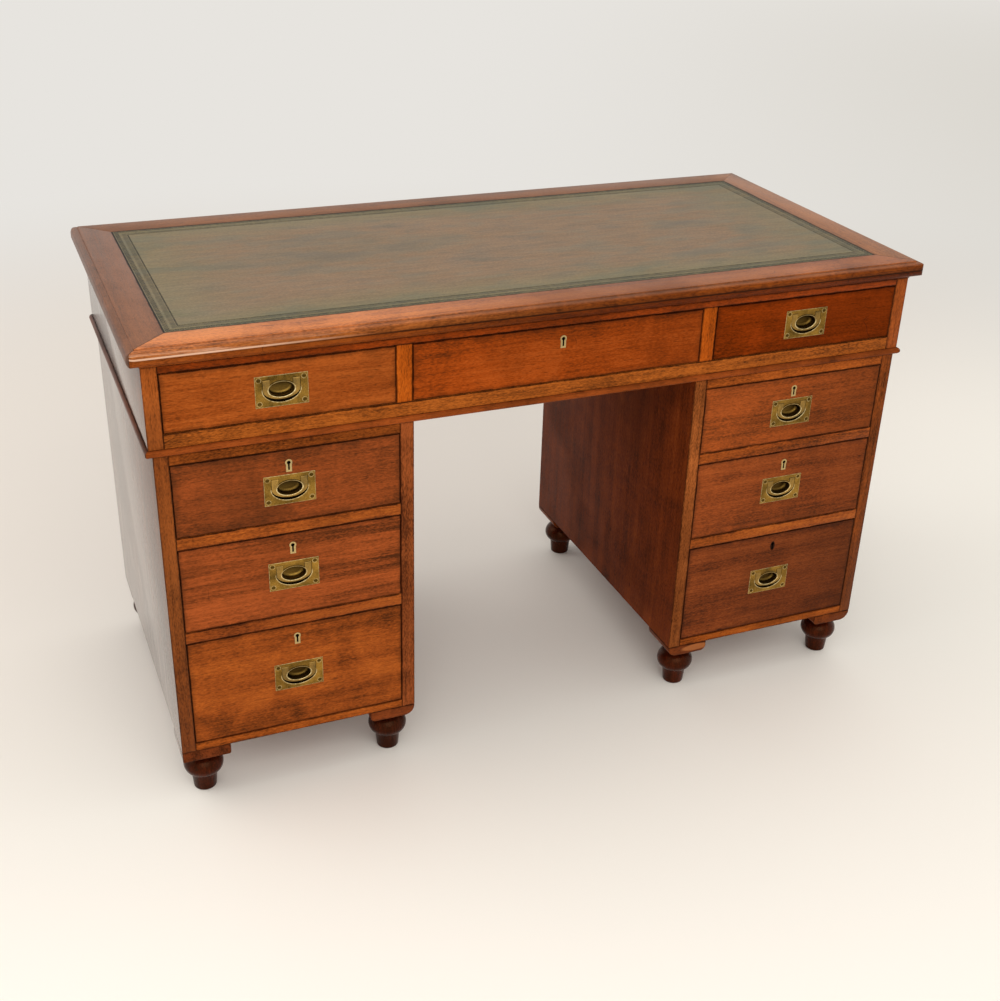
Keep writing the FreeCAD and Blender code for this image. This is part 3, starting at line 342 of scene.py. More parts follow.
def grainTone(s, grain, flow, streaks, looks):
    # how light the wood is, from its bands, streaks, figure and specks
    g = woodGrain
    bands = s.centred(s.noise(s.stretch(flow, g["bandScale"]), 1, 3, 0.55))
    broad = s.centred(s.noise(s.stretch(grain, g["broadScale"]), 1, 2))
    slanted = s.stretch(grain, g["figureScale"], turn=(0, looks["slant"], 0))
    figure = s.centred(s.noise(slanted, 1, 3, 0.55, 0.8))
    specks = s.centred(s.noise(s.stretch(flow, g["speckScale"]), 1, 1))
    streaks = s.centred(streaks)
    return s.held(s.weighted(0.5, looks, bands=bands, streaks=streaks, broad=broad, figure=figure,
                             specks=specks))


def dentsAndScratches(s, grain, clouds, looks):
    g = woodGrain
    cells = s.cells(s.stretch(grain, g["markScale"]))
    dent = s.band(cells["Distance"], *g["dentSpan"])
    rare = s.band(s.split(cells["Color"])[0], *g["dentChance"])
    line = s.maths("ABSOLUTE", s.centred(s.noise(s.stretch(grain, g["scratchScale"]), 1, 0)))
    line = s.times(s.band(line, *g["scratchSpan"]), s.band(clouds, *g["scratchClouds"]))
    patches = s.noise(s.stretch(grain, g["scratchPatchScale"]), 1, 1)
    scratch = s.times(line, s.band(patches, *g["scratchPatches"]))
    return s.times(s.most(s.times(dent, rare), scratch), looks["marks"])


def woodMaterial(name, looks, board=None):
    # Looks holds a light, a middle and a dark colour, and how strong each kind of mark is.
    # A board is the box of one piece of wood; without one, the mesh says where each of its boards lies.
    s = Shader(bpy.data.materials.new(name))
    g = woodGrain
    where = s.objectPlace()
    if board:
        low, high = board
        centre, half = (low + high) / 2, (high - low) / 2
        place = s.vectors("SUBTRACT", where, tuple(centre))
        reach = s.vectors("SUBTRACT", tuple(half), s.vectors("ABSOLUTE", place))
        dice = random.Random(name)
        shift = (dice.uniform(0, 9), dice.uniform(0, 9), dice.uniform(0, 9))
        grain = s.stretch(place, (1, 1, 1), shift)
    else:
        place = s.attribute("boardPlace")
        reach = s.vectors("SUBTRACT", s.attribute("boardHalf"), s.vectors("ABSOLUTE", place))
        grain = s.attribute("grain")
    wander = s.noise(s.stretch(grain, g["wanderScale"]), 1, 2, coloured=True)
    wander = s.vectors("SUBTRACT", wander, (0.5, 0.5, 0.5))
    sway = g["wander"] * looks["wander"]
    flow = s.vectors("ADD", grain, s.vectors("MULTIPLY", wander, (0, sway, sway)))
    streaks = s.noise(s.stretch(flow, g["streakScale"]), 1, 4, 0.65)
    tone = grainTone(s, grain, flow, streaks, looks)
    colour = toneRamp(s, tone, (looks["dark"], looks["middle"], looks["light"]))
    coat = looks["coat"]
    if not board and "frontLight" in looks:
        # the front edges of the side boards get colours of their own, and no coat
        fromFront = s.split(s.vectors("ADD", s.attribute("boardHalf"), place))[1]
        frontEdge = s.band(fromFront, *g["frontEdge"])
        frontColour = toneRamp(s, tone, (looks["frontDark"], looks["frontMiddle"], looks["frontLight"]))
        if "frontShade" in looks:
            frontColour = slowShade(s, frontColour, where, looks["frontShade"])
        colour = s.mix(frontEdge, colour, frontColour)
        if coat:
            coat = s.maths("SUBTRACT", coat, frontEdge, clamp=True)
    if not board:
        colour = s.mix(1.0, colour, s.attribute("tint", "Color"), "MULTIPLY")
    if "shade" in looks:
        colour = slowShade(s, colour, where, looks["shade"])
    # dark flecks and pores run with the grain
    flecks = s.band(s.noise(s.stretch(flow, g["fleckScale"]), 1, 2, 0.6), *g["fleckSpan"])
    pores = s.band(s.noise(s.stretch(flow, g["poreScale"]), 1, 1), *g["poreSpan"])
    colour = s.mix(s.times(flecks, looks["flecks"]), colour, looks["dark"])
    colour = s.mix(s.times(pores, g["poreDark"]), colour, looks["dark"])
    # clouds of old dirt, dents and scratches
    clouds = s.noise(s.stretch(grain, g["cloudScale"]), 1, 4, 0.6)
    clouds = s.times(s.band(clouds, *g["cloudSpan"]), looks["clouds"])
    colour = s.mix(clouds, colour, looks["dark"])
    marks = dentsAndScratches(s, grain, clouds, looks)
    colour = s.mix(marks, colour, g["markColour"])
    # dirt darkens each board's margin; the dark seam lines are dirt in the joints and painted shadow of the
    # gaps
    x, y, z = s.split(reach)[:3]
    inner = s.most(s.maths("MINIMUM", x, y), s.maths("MINIMUM", s.most(x, y), z))
    ragged = s.noise(s.stretch(place, g["raggedScale"]), 1, 4, 0.65)
    width = s.times(s.band(ragged, *g["marginRagged"]), looks["margin"])
    margin = s.maths("DIVIDE", inner, s.maths("ADD", width, g["leastMargin"]))
    margin = s.times(s.band(margin, *g["marginSpan"]), looks["grime"])
    colour = s.mix(margin, colour, looks["dark"])
    if board:
        # painted shade: near black inside the keyhole and any hollow sunk behind the front face
        sunk = s.split(s.vectors("ADD", place, tuple(half)))[1]
        hole = s.times(s.plateau(sunk, g["keyholeDepths"]), s.band(inner, *g["keyholeInset"]))
        colour = s.mix(hole, colour, g["keyholeColour"])
    if "stain" in looks:
        # one spot of another colour, such as the black wood round a keyhole without its escutcheon
        atX, atZ, halfX, halfZ, stainColour, strength = looks["stain"]
        sides = s.maths("DIVIDE", s.maths("SUBTRACT", s.split(where)[0], atX), halfX)
        rise = s.maths("DIVIDE", s.maths("SUBTRACT", s.split(where)[2], atZ), halfZ)
        stain = s.band(s.vectors("LENGTH", s.join(sides, rise, 0.0)), *g["stainSpan"], strength, 0)
        colour = s.mix(stain, colour, hexColour(stainColour))
    if "noseDirt" in looks:
        colour = noseWear(s, colour, where, ragged, looks)
    # dark seam lines: dirt in the joints and painted shadow of the gaps
    seamWidth = s.band(ragged, *g["seamRagged"], *g["seamWidths"])
    seam = s.times(s.band(s.maths("DIVIDE", inner, seamWidth), *g["seamSpan"]), looks["seam"])
    colour = s.mix(seam, colour, g["seamColour"])
    rough = s.held(s.weighted(looks["rough"], g["roughLayers"], streaks=streaks, seam=seam, clouds=clouds))
    height = s.weighted(0.0, g["heightLayers"], streaks=streaks, pores=pores, flecks=flecks, marks=marks)
    normal = s.bump(height, g["bumpStrength"], g["poreDepth"])
    skin = {"Specular IOR Level": looks["gloss"], "Specular Tint": looks["glossTint"]}
    if looks["coat"]:
        skin.update({"Coat Weight": coat, "Coat Roughness": looks["coatRough"], "Coat IOR": looks["coatIor"]})
    return s.finish(colour, rough, normal, **skin)


def woodLooks(light, middle, dark, **more):
    looks = {"light": hexColour(light), "middle": hexColour(middle), "dark": hexColour(dark),
             "bands": 0.8, "streaks": 0.7, "broad": 0.7, "figure": 0.5, "wander": 1.0, "slant": 0.5,
             "flecks": 0.5, "clouds": 0.35, "marks": 0.6, "margin": 0.010, "grime": 0.5, "seam": 0.92,
             "specks": 0.7, "rough": 0.30, "gloss": 0.08, "glossTint": (1.0, 0.55, 0.28, 1.0),
             "coat": 0.0, "coatIor": 1.5, "coatRough": 0.10}
    for name, value in more.items():
        looks[name] = hexColour(value) if isinstance(value, str) else value
    return looks


drawerFronts = {
    "left_top": woodLooks("a04d22", "823e1a", "422210", clouds=0.6, bands=0.4, figure=0.6, margin=0.014),
    "left_middle": woodLooks("ac5426", "8e441d", "4a240f", bands=1.2, streaks=1.1, broad=0.4, figure=0.2),
    "left_bottom": woodLooks("b05a20", "8e4417", "4e250c", figure=0.9, slant=0.7, marks=0.5, clouds=0.2),
    "right_top": woodLooks("b85a26", "9c4a1c", "562a11", broad=0.5, bands=0.5, figure=0.4,
                           shade=(0, 0.28, 0.58, [(0.0, 1.02), (1.0, 0.60)])),
    "right_middle": woodLooks("a45224", "8a411b", "4a2410", bands=0.6, broad=0.4,
                              shade=(0, 0.28, 0.58, [(0.0, 1.0), (1.0, 0.70)])),
    "right_bottom": woodLooks("8a441e", "6e3315", "36190c", clouds=0.6, marks=0.9,
                              stain=(0.4235, 0.2665, 0.0050, 0.0095, "140a08", 0.95),
                              shade=(0, 0.28, 0.58, [(0.0, 1.08), (1.0, 0.64)])),
    "upper_left": woodLooks("a8541e", "8d4113", "4e240a", bands=1.2, streaks=1.2),
    "centre": woodLooks("ac501a", "923d0d", "54240a", figure=0.5, bands=0.5, gloss=0.04,
                        shade=(0, -0.22, 0.22, [(0.0, 1.1), (1.0, 0.81)])),
    "upper_right": woodLooks("90380a", "762c05", "401803", figure=0.4, gloss=0.02,
                             shade=(0, 0.28, 0.58, [(0.0, 1.1), (1.0, 0.9)])),
}

polishedSide = {"streaks": 0.7, "grime": 0.3, "seam": 0.5, "coat": 1.0, "rough": 0.20, "gloss": 0.08,
                "coatIor": 1.56, "coatRough": 0.18, "margin": 0.003}
innerSide = {"streaks": 0.5, "margin": 0.003, "grime": 0.4, "seam": 0.6, "gloss": 0.02}
innerWood = ("884019", "6e2f11", "3a180a")
outerWood = ("6c4028", "54301c", "301a10")

caseLooks = {
    "panels": woodLooks(*innerWood, **innerSide,
                        frontLight="b66024", frontMiddle="984c1b", frontDark="4c250e"),
    "leftInner": woodLooks(*innerWood, **innerSide,
                           frontLight="b6602f", frontMiddle="9a5026", frontDark="532a14"),
    "rightInner": woodLooks(*innerWood, **innerSide,
                            frontLight="b86a36", frontMiddle="9c5528", frontDark="542c14",
                            frontShade=(2, 0.10, 0.55, [(0.0, 0.62), (0.4, 0.85), (0.8, 1.05), (1.0, 0.9)])),
    "leftOuter": woodLooks(*outerWood, **polishedSide,
                           frontLight="ae5c24", frontMiddle="964d1c", frontDark="50270f",
                           frontShade=(2, 0.10, 0.70, [(0.0, (0.6, 0.62, 0.75)), (0.5, (0.7, 0.8, 1.0)),
                                                       (1.0, 1.0)])),
    "rightOuter": woodLooks(*outerWood, **polishedSide,
                            frontLight="ac5824", frontMiddle="8e451b", frontDark="4a240e",
                            frontShade=(2, 0.10, 0.60, [(0.0, 0.82), (0.7, 0.84), (1.0, 1.05)])),
    "partitions": woodLooks(*innerWood, **innerSide,
                            frontLight="c8641c", frontMiddle="ac5012", frontDark="602e0c",
                            frontShade=(0, -0.30, 0.30, [(0.0, 0.85), (1.0, 1.05)])),
    "rails": woodLooks("ae5c22", "904619", "44200c", margin=0.003, grime=0.4, marks=0.9, flecks=0.5),
    "lowerRail": woodLooks("ba6626", "9c511c", "4e260e", margin=0.003, grime=0.4, marks=0.6, flecks=0.4,
                           clouds=0.15, gloss=0.04),
    "upperRail": woodLooks("9e420e", "80340a", "401a06", margin=0.003, grime=0.5, marks=0.9, flecks=0.5),
    "bead": woodLooks("b05822", "924619", "3e1c0a", margin=0.002, grime=0.3, gloss=0.06,
                      bands=0.3, streaks=0.3, specks=0.2, marks=0.2),
    # the beads along the ends get darker copies of the front bead's colours: painted shade
    "beadSides": woodLooks("6e361a", "582912", "2c1307", margin=0.002, grime=0.4, gloss=0.2),
    "borderFront": woodLooks("e48944", "cb7338", "6e3818", margin=0.010, grime=0.3, clouds=0.4, gloss=0.10,
                             # some of these settings paint light: a sheen on the top, shade on the roll and
                             # under it, and a shadow line where the roll ends
                             haze=0.04, marks=0.9, stepDirt=0.45, noseDirt=0.4, groove=0.85, rollFade=0.7,
                             noseAlong=(-0.45, 0.0, 0.25, 1), underTint=(0.86, 0.64, 0.36, 1.0),
                             # painted shade on the rounded edge, darkest from the middle to the right, where
                             # it is also worn darker
                             noseShade=(0, -0.62, 0.62, [(0.0, 0.70), (0.2, (0.62, 0.58, 0.46)),
                                                         (0.42, (0.60, 0.54, 0.42)),
                                                         (0.62, (0.78, 0.60, 0.30)),
                                                         (1.0, (0.52, 0.40, 0.20))]),
                             # paler and bluer at the left end: painted sheen; darker from the middle to the
                             # right
                             shade=(0, -0.62, 0.62, [(0.0, (1.06, 1.14, 1.22)), (0.25, (1.0, 1.06, 1.12)),
                                                     (0.42, 0.60), (0.62, 0.43), (0.85, 0.66), (1.0, 0.62)])),
    "borderSides": woodLooks("8c5838", "7a4a2e", "4a2c1a", margin=0.010, grime=0.3, clouds=0.3, gloss=0.42,
                             glossTint=(1.0, 0.9, 0.8, 1.0), marks=0.7, figure=0.15, bands=0.6,
                             # some of these settings paint shade under the roll and a faint shadow line where
                             # the roll ends
                             stepDirt=0.4, noseDirt=0.4, noseAlong=None, haze=0.0,
                             rollFade=1.0, underTint=(0.8, 0.75, 0.7, 1.0), groove=0.3,
                             # paler at the right end: painted reflection of the wall
                             shade=(0, -0.62, 0.62, [(0.0, 1.18), (0.9, 1.05), (1.0, (1.7, 1.8, 1.7))]),
                             # painted shade on the rounded edge
                             noseShade=(0, -0.62, 0.62, [(0.0, (0.85, 0.80, 0.75)),
                                                         (1.0, (0.85, 0.80, 0.75))])),
    "ground": woodLooks("8c6038", "74492a", "46291a", rough=0.5, grime=0.3),
    "blocks": woodLooks("843f1a", "6a3013", "331608", margin=0.004, grime=0.5,
                        stain=(0.290, 0.0865, 0.030, 0.0065, "b06a3a", 0.65)),
    "outerBlocks": woodLooks(*outerWood, **polishedSide,
                             frontLight="843f1a", frontMiddle="6a3013", frontDark="331608"),
    "feet": woodLooks("521c08", "361005", "1a0601", grime=0.2, seam=0.3, gloss=0.16, rough=0.16),
    "lining": woodLooks("b98a58", "9c7046", "5e3f26", rough=0.55, grime=0.3, seam=0.5, flecks=0.3, gloss=0.3,
                        glossTint=(1.0, 1.0, 1.0, 1.0)),
}

# how much lighter or darker one board may be than the next
boardTones = {
    "panels": (0.90, 1.10),
    "rails": (0.86, 1.14),
    "border": (0.97, 1.03),
    "feet": (0.90, 1.10),
    "lining": (0.92, 1.08),
}


boardMesh = {
    "longRail": 0.12,  # half the length from which a flat board counts as a rail
    "mergeWithin": 0.00001,
    "flatAngle": math.radians(0.5),
    "arrisAngle": math.radians(35),
    "arrisSegments": 2,
    "smoothAngle": math.radians(30),
}

arrises = {"case": 0.0008, "bead": 0.0004, "border": 0.0006, "blocks": 0.0012, "feet": 0.0003,
           "lining": 0.0005}

# where a board's centre lies tells which piece of the case it is
boardPlaces = {
    "thinHalf": 0.02,
    "outerSide": 0.59,
    "partitionWithin": 0.4,
    "front": -0.2,
    "upperRail": 0.70,
    "leftBlock": -0.5,
}


def grainAxis(half, upright):
    # 0, 1 or 2 for the axis that the grain follows
    thin = min(range(3), key=lambda i: half[i])
    if upright and thin == 0:
        return 2
    if thin == 2 and half[0] > boardMesh["longRail"]:
        return 0
    return max(range(3), key=lambda i: half[i])


def writeVectors(mesh, name, values):
    attribute = mesh.attributes.new(name, "FLOAT_VECTOR", "POINT")
    attribute.data.foreach_set("vector", np.asarray(values, np.float32).ravel())


def markBoard(part, upright, tones, choose):
    # writes into the mesh where its board lies, which way the grain runs and how dark the board is
    mesh = part.data
    places = np.zeros(len(mesh.vertices) * 3, np.float32)
    mesh.vertices.foreach_get("co", places)
    places = places.reshape(-1, 3)
    low, high = places.min(0), places.max(0)
    centre, half = (low + high) / 2, (high - low) / 2
    local = places - centre
    axis = grainAxis(half, upright)
    order = [axis] + [i for i in (0, 1, 2) if i != axis]
    dice = random.Random(" ".join(f"{v:.2f}" for v in centre))
    shift = np.array([dice.uniform(0, 20) for _ in range(3)])
    level = dice.uniform(*tones)
    tint = [level, level * dice.uniform(0.97, 1.03), level * dice.uniform(0.94, 1.06), 1.0]
    writeVectors(mesh, "grain", local[:, order] + shift)
    writeVectors(mesh, "boardPlace", local)
    writeVectors(mesh, "boardHalf", np.tile(half, (len(local), 1)))
    colours = mesh.attributes.new("tint", "FLOAT_COLOR", "POINT")
    colours.data.foreach_set("color", np.tile(tint, len(local)).astype(np.float32))
    mesh.materials.clear()
    mesh.materials.append(choose(centre, half))
    mesh.polygons.foreach_set("material_index", np.zeros(len(mesh.polygons), np.int32))


def sortBoards(mesh):
    # A node's boards follow each other in its faces and each one is closed, so a board ends where
    # no edge is left open. Each board gets a material slot of its own.
    places = np.zeros(len(mesh.vertices) * 3, np.float32)
    mesh.vertices.foreach_get("co", places)
    rounded = np.round(places.reshape(-1, 3).astype(float) * 1e6).astype(np.int64)
    corners = np.unique(rounded, axis=0, return_inverse=True)[1].ravel().tolist()
    waiting, unmatched, boards = {}, 0, [0]
    for polygon in mesh.polygons:
        ring = [corners[v] for v in polygon.vertices]
        for edge in zip(ring, ring[1:] + ring[:1]):
            back = edge[::-1]
            if edge[0] == edge[1]:
                continue
            if waiting.get(back, 0):
                waiting[back] -= 1
                unmatched -= 1
            else:
                waiting[edge] = waiting.get(edge, 0) + 1
                unmatched += 1
        boards.append(boards[-1] + (unmatched == 0))
    mesh.materials.clear()
    for _ in range(boards[-1]):
        mesh.materials.append(None)
    mesh.polygons.foreach_set("material_index", np.array(boards[:-1], np.int32))


def woodCopy(nodeName, pieceName, choose, arris, tones, upright=False):
    # the node's own boards with their arrises eased, each marked with its grain
    piece = bpy.data.objects.new(pieceName, nodes[nodeName].data.copy())
    bpy.context.scene.collection.objects.link(piece)
    sortBoards(piece.data)
    pick(piece)
    bpy.ops.object.mode_set(mode="EDIT")
    bpy.ops.mesh.select_all(action="SELECT")
    bpy.ops.mesh.separate(type="MATERIAL")
    bpy.ops.object.mode_set(mode="OBJECT")
    parts = [item for item in bpy.context.scene.objects if item.select_get()]
    bpy.ops.object.mode_set(mode="EDIT")
    bpy.ops.mesh.select_all(action="SELECT")
    bpy.ops.mesh.remove_doubles(threshold=boardMesh["mergeWithin"])
    bpy.ops.mesh.dissolve_limited(angle_limit=boardMesh["flatAngle"])
    bpy.ops.object.mode_set(mode="OBJECT")
    for part in parts:
        bpy.context.view_layer.objects.active = part
        bevel = part.modifiers.new("arris", "BEVEL")
        bevel.width = arris
        bevel.segments = boardMesh["arrisSegments"]
        bevel.limit_method = "ANGLE"
        bevel.angle_limit = boardMesh["arrisAngle"]
        bpy.ops.object.modifier_apply(modifier=bevel.name)
        markBoard(part, upright, tones, choose)
    bpy.context.view_layer.objects.active = piece
    bpy.ops.object.join()
    bpy.ops.object.shade_smooth_by_angle(angle=boardMesh["smoothAngle"])
    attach(piece, bodyOf[nodeName])
    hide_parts(nodeName)


def dress(nodeName, material):
    mesh = nodes[nodeName].data
    mesh.materials.clear()
    mesh.materials.append(material)


leatherTop = {
    "grooves": [(0.0016, 0.0026), (0.0098, 0.0108), (0.0128, 0.0138), (0.0212, 0.0238)],
    "grooveDepth": 0.0003,
    "outerBand": (0.0029, 0.0096),
    "innerBand": (0.0140, 0.0205),
    "dots": (0.0212, 0.0238),
    "motifLength": 0.0070,
    "hatchLength": 0.0022,
    "dotLength": 0.0040,
    "rim": (0.0010, 0.0026),
    "ovalRing": (0.24, 0.32, 0.44, 0.52),
    "mottleScale": (2.4, 6, 5),
    "fineScale": (11, 30, 20),
    "gritScale": (230, 420, 300),
    "fibreScale": (18, 150, 60),
    "raggedScale": (120, 120, 60),
    "creaseScale": (14, 40, 30),
    "pebbleScale": 700,
    "brown": [(0.28, hexColour("665640")), (0.40, hexColour("725f45")), (0.54, hexColour("806243")),
              (0.68, hexColour("715f4a")), (0.82, hexColour("5f5840"))],
    "green": [(0.35, hexColour("5b5a3a")), (0.65, hexColour("736b44"))],
    "greenFront": (0.04, 0.15, 1, 0),
    "greenEnds": (0.05, 0.24, 0.8, 0),
    "bandColour": hexColour("342d1c"),
    "toolColour": hexColour("16120b"),
    "grooveColour": hexColour("18130c"),
    "rimColour": hexColour("120c08"),
    "toolDark": 0.85,
    "bandDark": 0.6,
    "innerBandShare": 0.7,
    "hatchShare": 0.5,
    "fineShare": 0.7,
    "greenStrength": 0.75,
    "greenRagged": (0.07, 0.10),
    # where in a noise or a repeat a mark comes up: from, to, and the strength at each end
    "gritSpan": (0.25, 0.75, 0.80, 1.20),
    "fibreSpan": (0.3, 0.7, 0.90, 1.10),
    "raggedSpan": (0.35, 0.65, 0.45, 1),
    "ovalDot": (0.08, 0.14, 1, 0),
    "hatchSpan": (0.15, 0.3),
    "dotSpan": (0.30, 0.42, 1, 0.25),
    "grooveShade": (0.00025, 0.00008),
    "grainDepth": 0.00030,
    "bumpStrength": 0.5,
    "rough": 0.36,
    "roughLayers": {"fine": 0.25, "worked": 0.3},
    "heightLayers": {"pebbles": 0.6, "creases": 0.8, "grit": 0.8, "tooled": -1.4},
    "gloss": 0.42,
}


def leatherMaterial(low, high):
    s = Shader(bpy.data.materials.new("agedLeather"))
    k = leatherTop
    place = s.objectPlace()
    x, y, z = s.split(place)[:3]
    fromSide = s.maths("SUBTRACT", high.x, s.maths("ABSOLUTE", x))
    fromFront = s.maths("SUBTRACT", high.y, s.maths("ABSOLUTE", y))
    inset = s.maths("MINIMUM", fromSide, fromFront)
    mottle = s.noise(s.stretch(place, k["mottleScale"]), 1, 4, 0.62, 0.5)
    fine = s.noise(s.stretch(place, k["fineScale"]), 1, 4, 0.65)
    grit = s.noise(s.stretch(place, k["gritScale"]), 1, 2, 0.6)
    worn = s.maths("MULTIPLY_ADD", s.centred(fine), k["fineShare"], mottle)
    fibres = s.noise(s.stretch(place, k["fibreScale"]), 1, 2, 0.6)
    colour = s.ramp(worn, k["brown"])
    # greener where hands and sleeves have not rubbed it, near the front and the ends
    frontRagged, endRagged = k["greenRagged"]
    green = s.band(s.maths("ADD", fromFront, s.times(worn, frontRagged)), *k["greenFront"])
    endGreen = s.band(s.maths("ADD", fromSide, s.times(worn, endRagged)), *k["greenEnds"])
    green = s.times(s.most(green, endGreen), k["greenStrength"])
    colour = s.mix(green, colour, s.ramp(worn, k["green"]))
    gritLevel = s.times(s.band(grit, *k["gritSpan"]), s.band(fibres, *k["fibreSpan"]))
    colour = s.mix(1.0, colour, s.grey(gritLevel), "MULTIPLY")
    # tooled margin: lines, a chain of small ovals, a hatched band and a dotted line
    along = s.mix(s.maths("LESS_THAN", fromSide, fromFront), s.grey(x), s.grey(y))
    along = s.split(along)[0]

    def repeat(length):
        return s.centred(s.maths("FRACT", s.maths("DIVIDE", along, length)))

    def between(pair):
        return s.times(s.maths("GREATER_THAN", inset, pair[0]), s.maths("LESS_THAN", inset, pair[1]))

    outerLow, outerHigh = k["outerBand"]
    across = s.maths("SUBTRACT", inset, (outerLow + outerHigh) / 2)
    across = s.maths("DIVIDE", across, outerHigh - outerLow)
    oval = s.vectors("LENGTH", s.join(s.times(repeat(k["motifLength"]), 1.05), across, 0.0))
    ring = s.plateau(oval, k["ovalRing"])
    dot = s.band(oval, *k["ovalDot"])
    outer = s.times(between(k["outerBand"]), s.most(ring, dot))
    hatch = s.band(s.maths("ABSOLUTE", repeat(k["hatchLength"])), *k["hatchSpan"])
    inner = s.times(between(k["innerBand"]), hatch)
    beads = s.band(s.maths("ABSOLUTE", repeat(k["dotLength"])), *k["dotSpan"])
    dots = s.times(between(k["dots"]), beads)
    ragged = s.band(s.noise(s.stretch(place, k["raggedScale"]), 1, 3, 0.6), *k["raggedSpan"])
    bands = s.most(between(k["outerBand"]), s.times(between(k["innerBand"]), k["innerBandShare"]))
    colour = s.mix(s.times(bands, k["bandDark"], ragged), colour, k["bandColour"])
    tooled = s.most(outer, s.times(inner, k["hatchShare"]), dots)
    colour = s.mix(s.times(tooled, k["toolDark"], ragged), colour, k["toolColour"])
    # painted shade in the bottom of each tooled groove
    deep, shallow = k["grooveShade"]
    groove = s.band(z, high.z - deep, high.z - shallow, 1, 0)
    colour = s.mix(s.times(groove, k["toolDark"], ragged), colour, k["grooveColour"])
    rim = s.band(inset, *k["rim"], 1, 0)
    colour = s.mix(rim, colour, k["rimColour"])
    pebbles = s.cells(s.stretch(place, (1, 1, 1)), k["pebbleScale"])["Distance"]
    creases = s.noise(s.stretch(place, k["creaseScale"]), 1, 4, 0.6)
    height = s.weighted(0.0, k["heightLayers"], pebbles=pebbles, creases=creases, grit=grit, tooled=tooled)
    rough = s.held(s.weighted(k["rough"], k["roughLayers"], fine=fine, worked=s.most(tooled, rim)))
    normal = s.bump(height, k["bumpStrength"], k["grainDepth"])
    return s.finish(colour, rough, normal, **{"Specular IOR Level": k["gloss"]})


def makeLeather():
    # a sheet with tooled grooves sunk in a margin round it
    low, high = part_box("writing_leather")
    centre = (low + high) / 2
    bpy.ops.mesh.primitive_plane_add(size=1, location=(centre.x, centre.y, high.z))
    sheet = bpy.context.active_object
    sheet.name = "leather_tooled"
    sheet.scale = (high.x - low.x, high.y - low.y, 1)
    pick(sheet)
    bpy.ops.object.transform_apply(location=True, rotation=True, scale=True)
    bpy.ops.object.mode_set(mode="EDIT")
    bpy.ops.mesh.select_mode(type="FACE")
    bpy.ops.mesh.select_all(action="SELECT")
    lines = [(0.0, 0.0)]
    for start, stop in leatherTop["grooves"]:
        lines += [(start, 0.0), ((start + stop) / 2, -leatherTop["grooveDepth"]), (stop, 0.0)]
    for (inset, height), (nextInset, nextHeight) in zip(lines, lines[1:]):
        bpy.ops.mesh.inset(thickness=nextInset - inset, depth=0)
        bpy.ops.transform.translate(value=(0, 0, nextHeight - height))
    bpy.ops.mesh.select_all(action="SELECT")
    bpy.ops.mesh.select_mode(type="EDGE")
    bpy.ops.mesh.region_to_loop()
    bpy.ops.mesh.extrude_edges_move(TRANSFORM_OT_translate={"value": (0, 0, low.z - high.z)})
    bpy.ops.mesh.edge_face_add()
    bpy.ops.mesh.select_all(action="SELECT")
    bpy.ops.mesh.normals_make_consistent(inside=False)
    bpy.ops.object.mode_set(mode="OBJECT")
    sheet.data.materials.append(leatherMaterial(low, high))
    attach(sheet, "top_section")
    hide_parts("writing_leather")


brassLooks = {
    "light": hexColour("ac8338"),
    "middle": hexColour("84642a"),
    "dark": hexColour("4c3b16"),
    "rubbed": hexColour("f2dca4"),
    "deep": hexColour("0f0906"),
    "cup": hexColour("86682e"),
    "ovalHalf": (0.0183, 0.0110),
    "ovalRise": 0.0013,
    "recessHalf": (0.0270, 0.0188),
    "screwsAt": (0.0322, 0.0177),
    "screwRadius": 0.0031,
    # the lines round the cup and the recess, in shares of their ovals
    "rimLine": (0.97, 1.00, 1.07, 1.14),
    "lipLine": (0.985, 1.0, 1.03, 1.07),
    # metres above the middle of the cup: from, to, and the strength at each end
    "rimLit": (-0.004, 0.006, 1.0, 0.35),
    "lipLit": (-0.002, 0.004, 1, 0),
    "cupLit": (-0.009, 0.008, 0.9, 0.15),
    "lipStrength": 0.6,
    "edgeStrength": 0.45,
    "collarStrength": 0.45,
    "edgeWidth": (0.0011, 0.0004),
    "tarnishDepth": (0.0005, 0.0022),
    "cupDepth": (0.0020, 0.0035),
    "cupEdge": (0.98, 1.02, 1, 0),
    "raisedDepth": (0.0002, 0.0006, 1, 0),
    # metres out from the edge of a screw's head
    "headEdge": (-0.0007, -0.0001),
    "collarEdge": (0.0, 0.0003, 0.0006, 0.0012),
    "ringRubbed": 0.06,
    "lockRubbed": 0.4,
    "headDark": 0.75,
    "tarnish": 0.92,
    "cloudScale": (38, 38, 38),
    "fineScale": (900, 900, 900),
    "scuffScale": (260, 260, 260),
    "fineShare": 0.55,
    "tonePlaces": (0.25, 0.50, 0.75),
    "scuffSpan": (0.35, 0.6, 0.35, 1),
    "glowSpan": (0.3, 0.7),
    "glowLeast": 0.6,
    "cupLevels": (0.5, 1.2),
    "rough": 0.22,
    "roughLayers": {"cloud": 0.30, "dark": 0.25},
    "bumpStrength": 0.30,
    "bumpDepth": 0.0002,
}


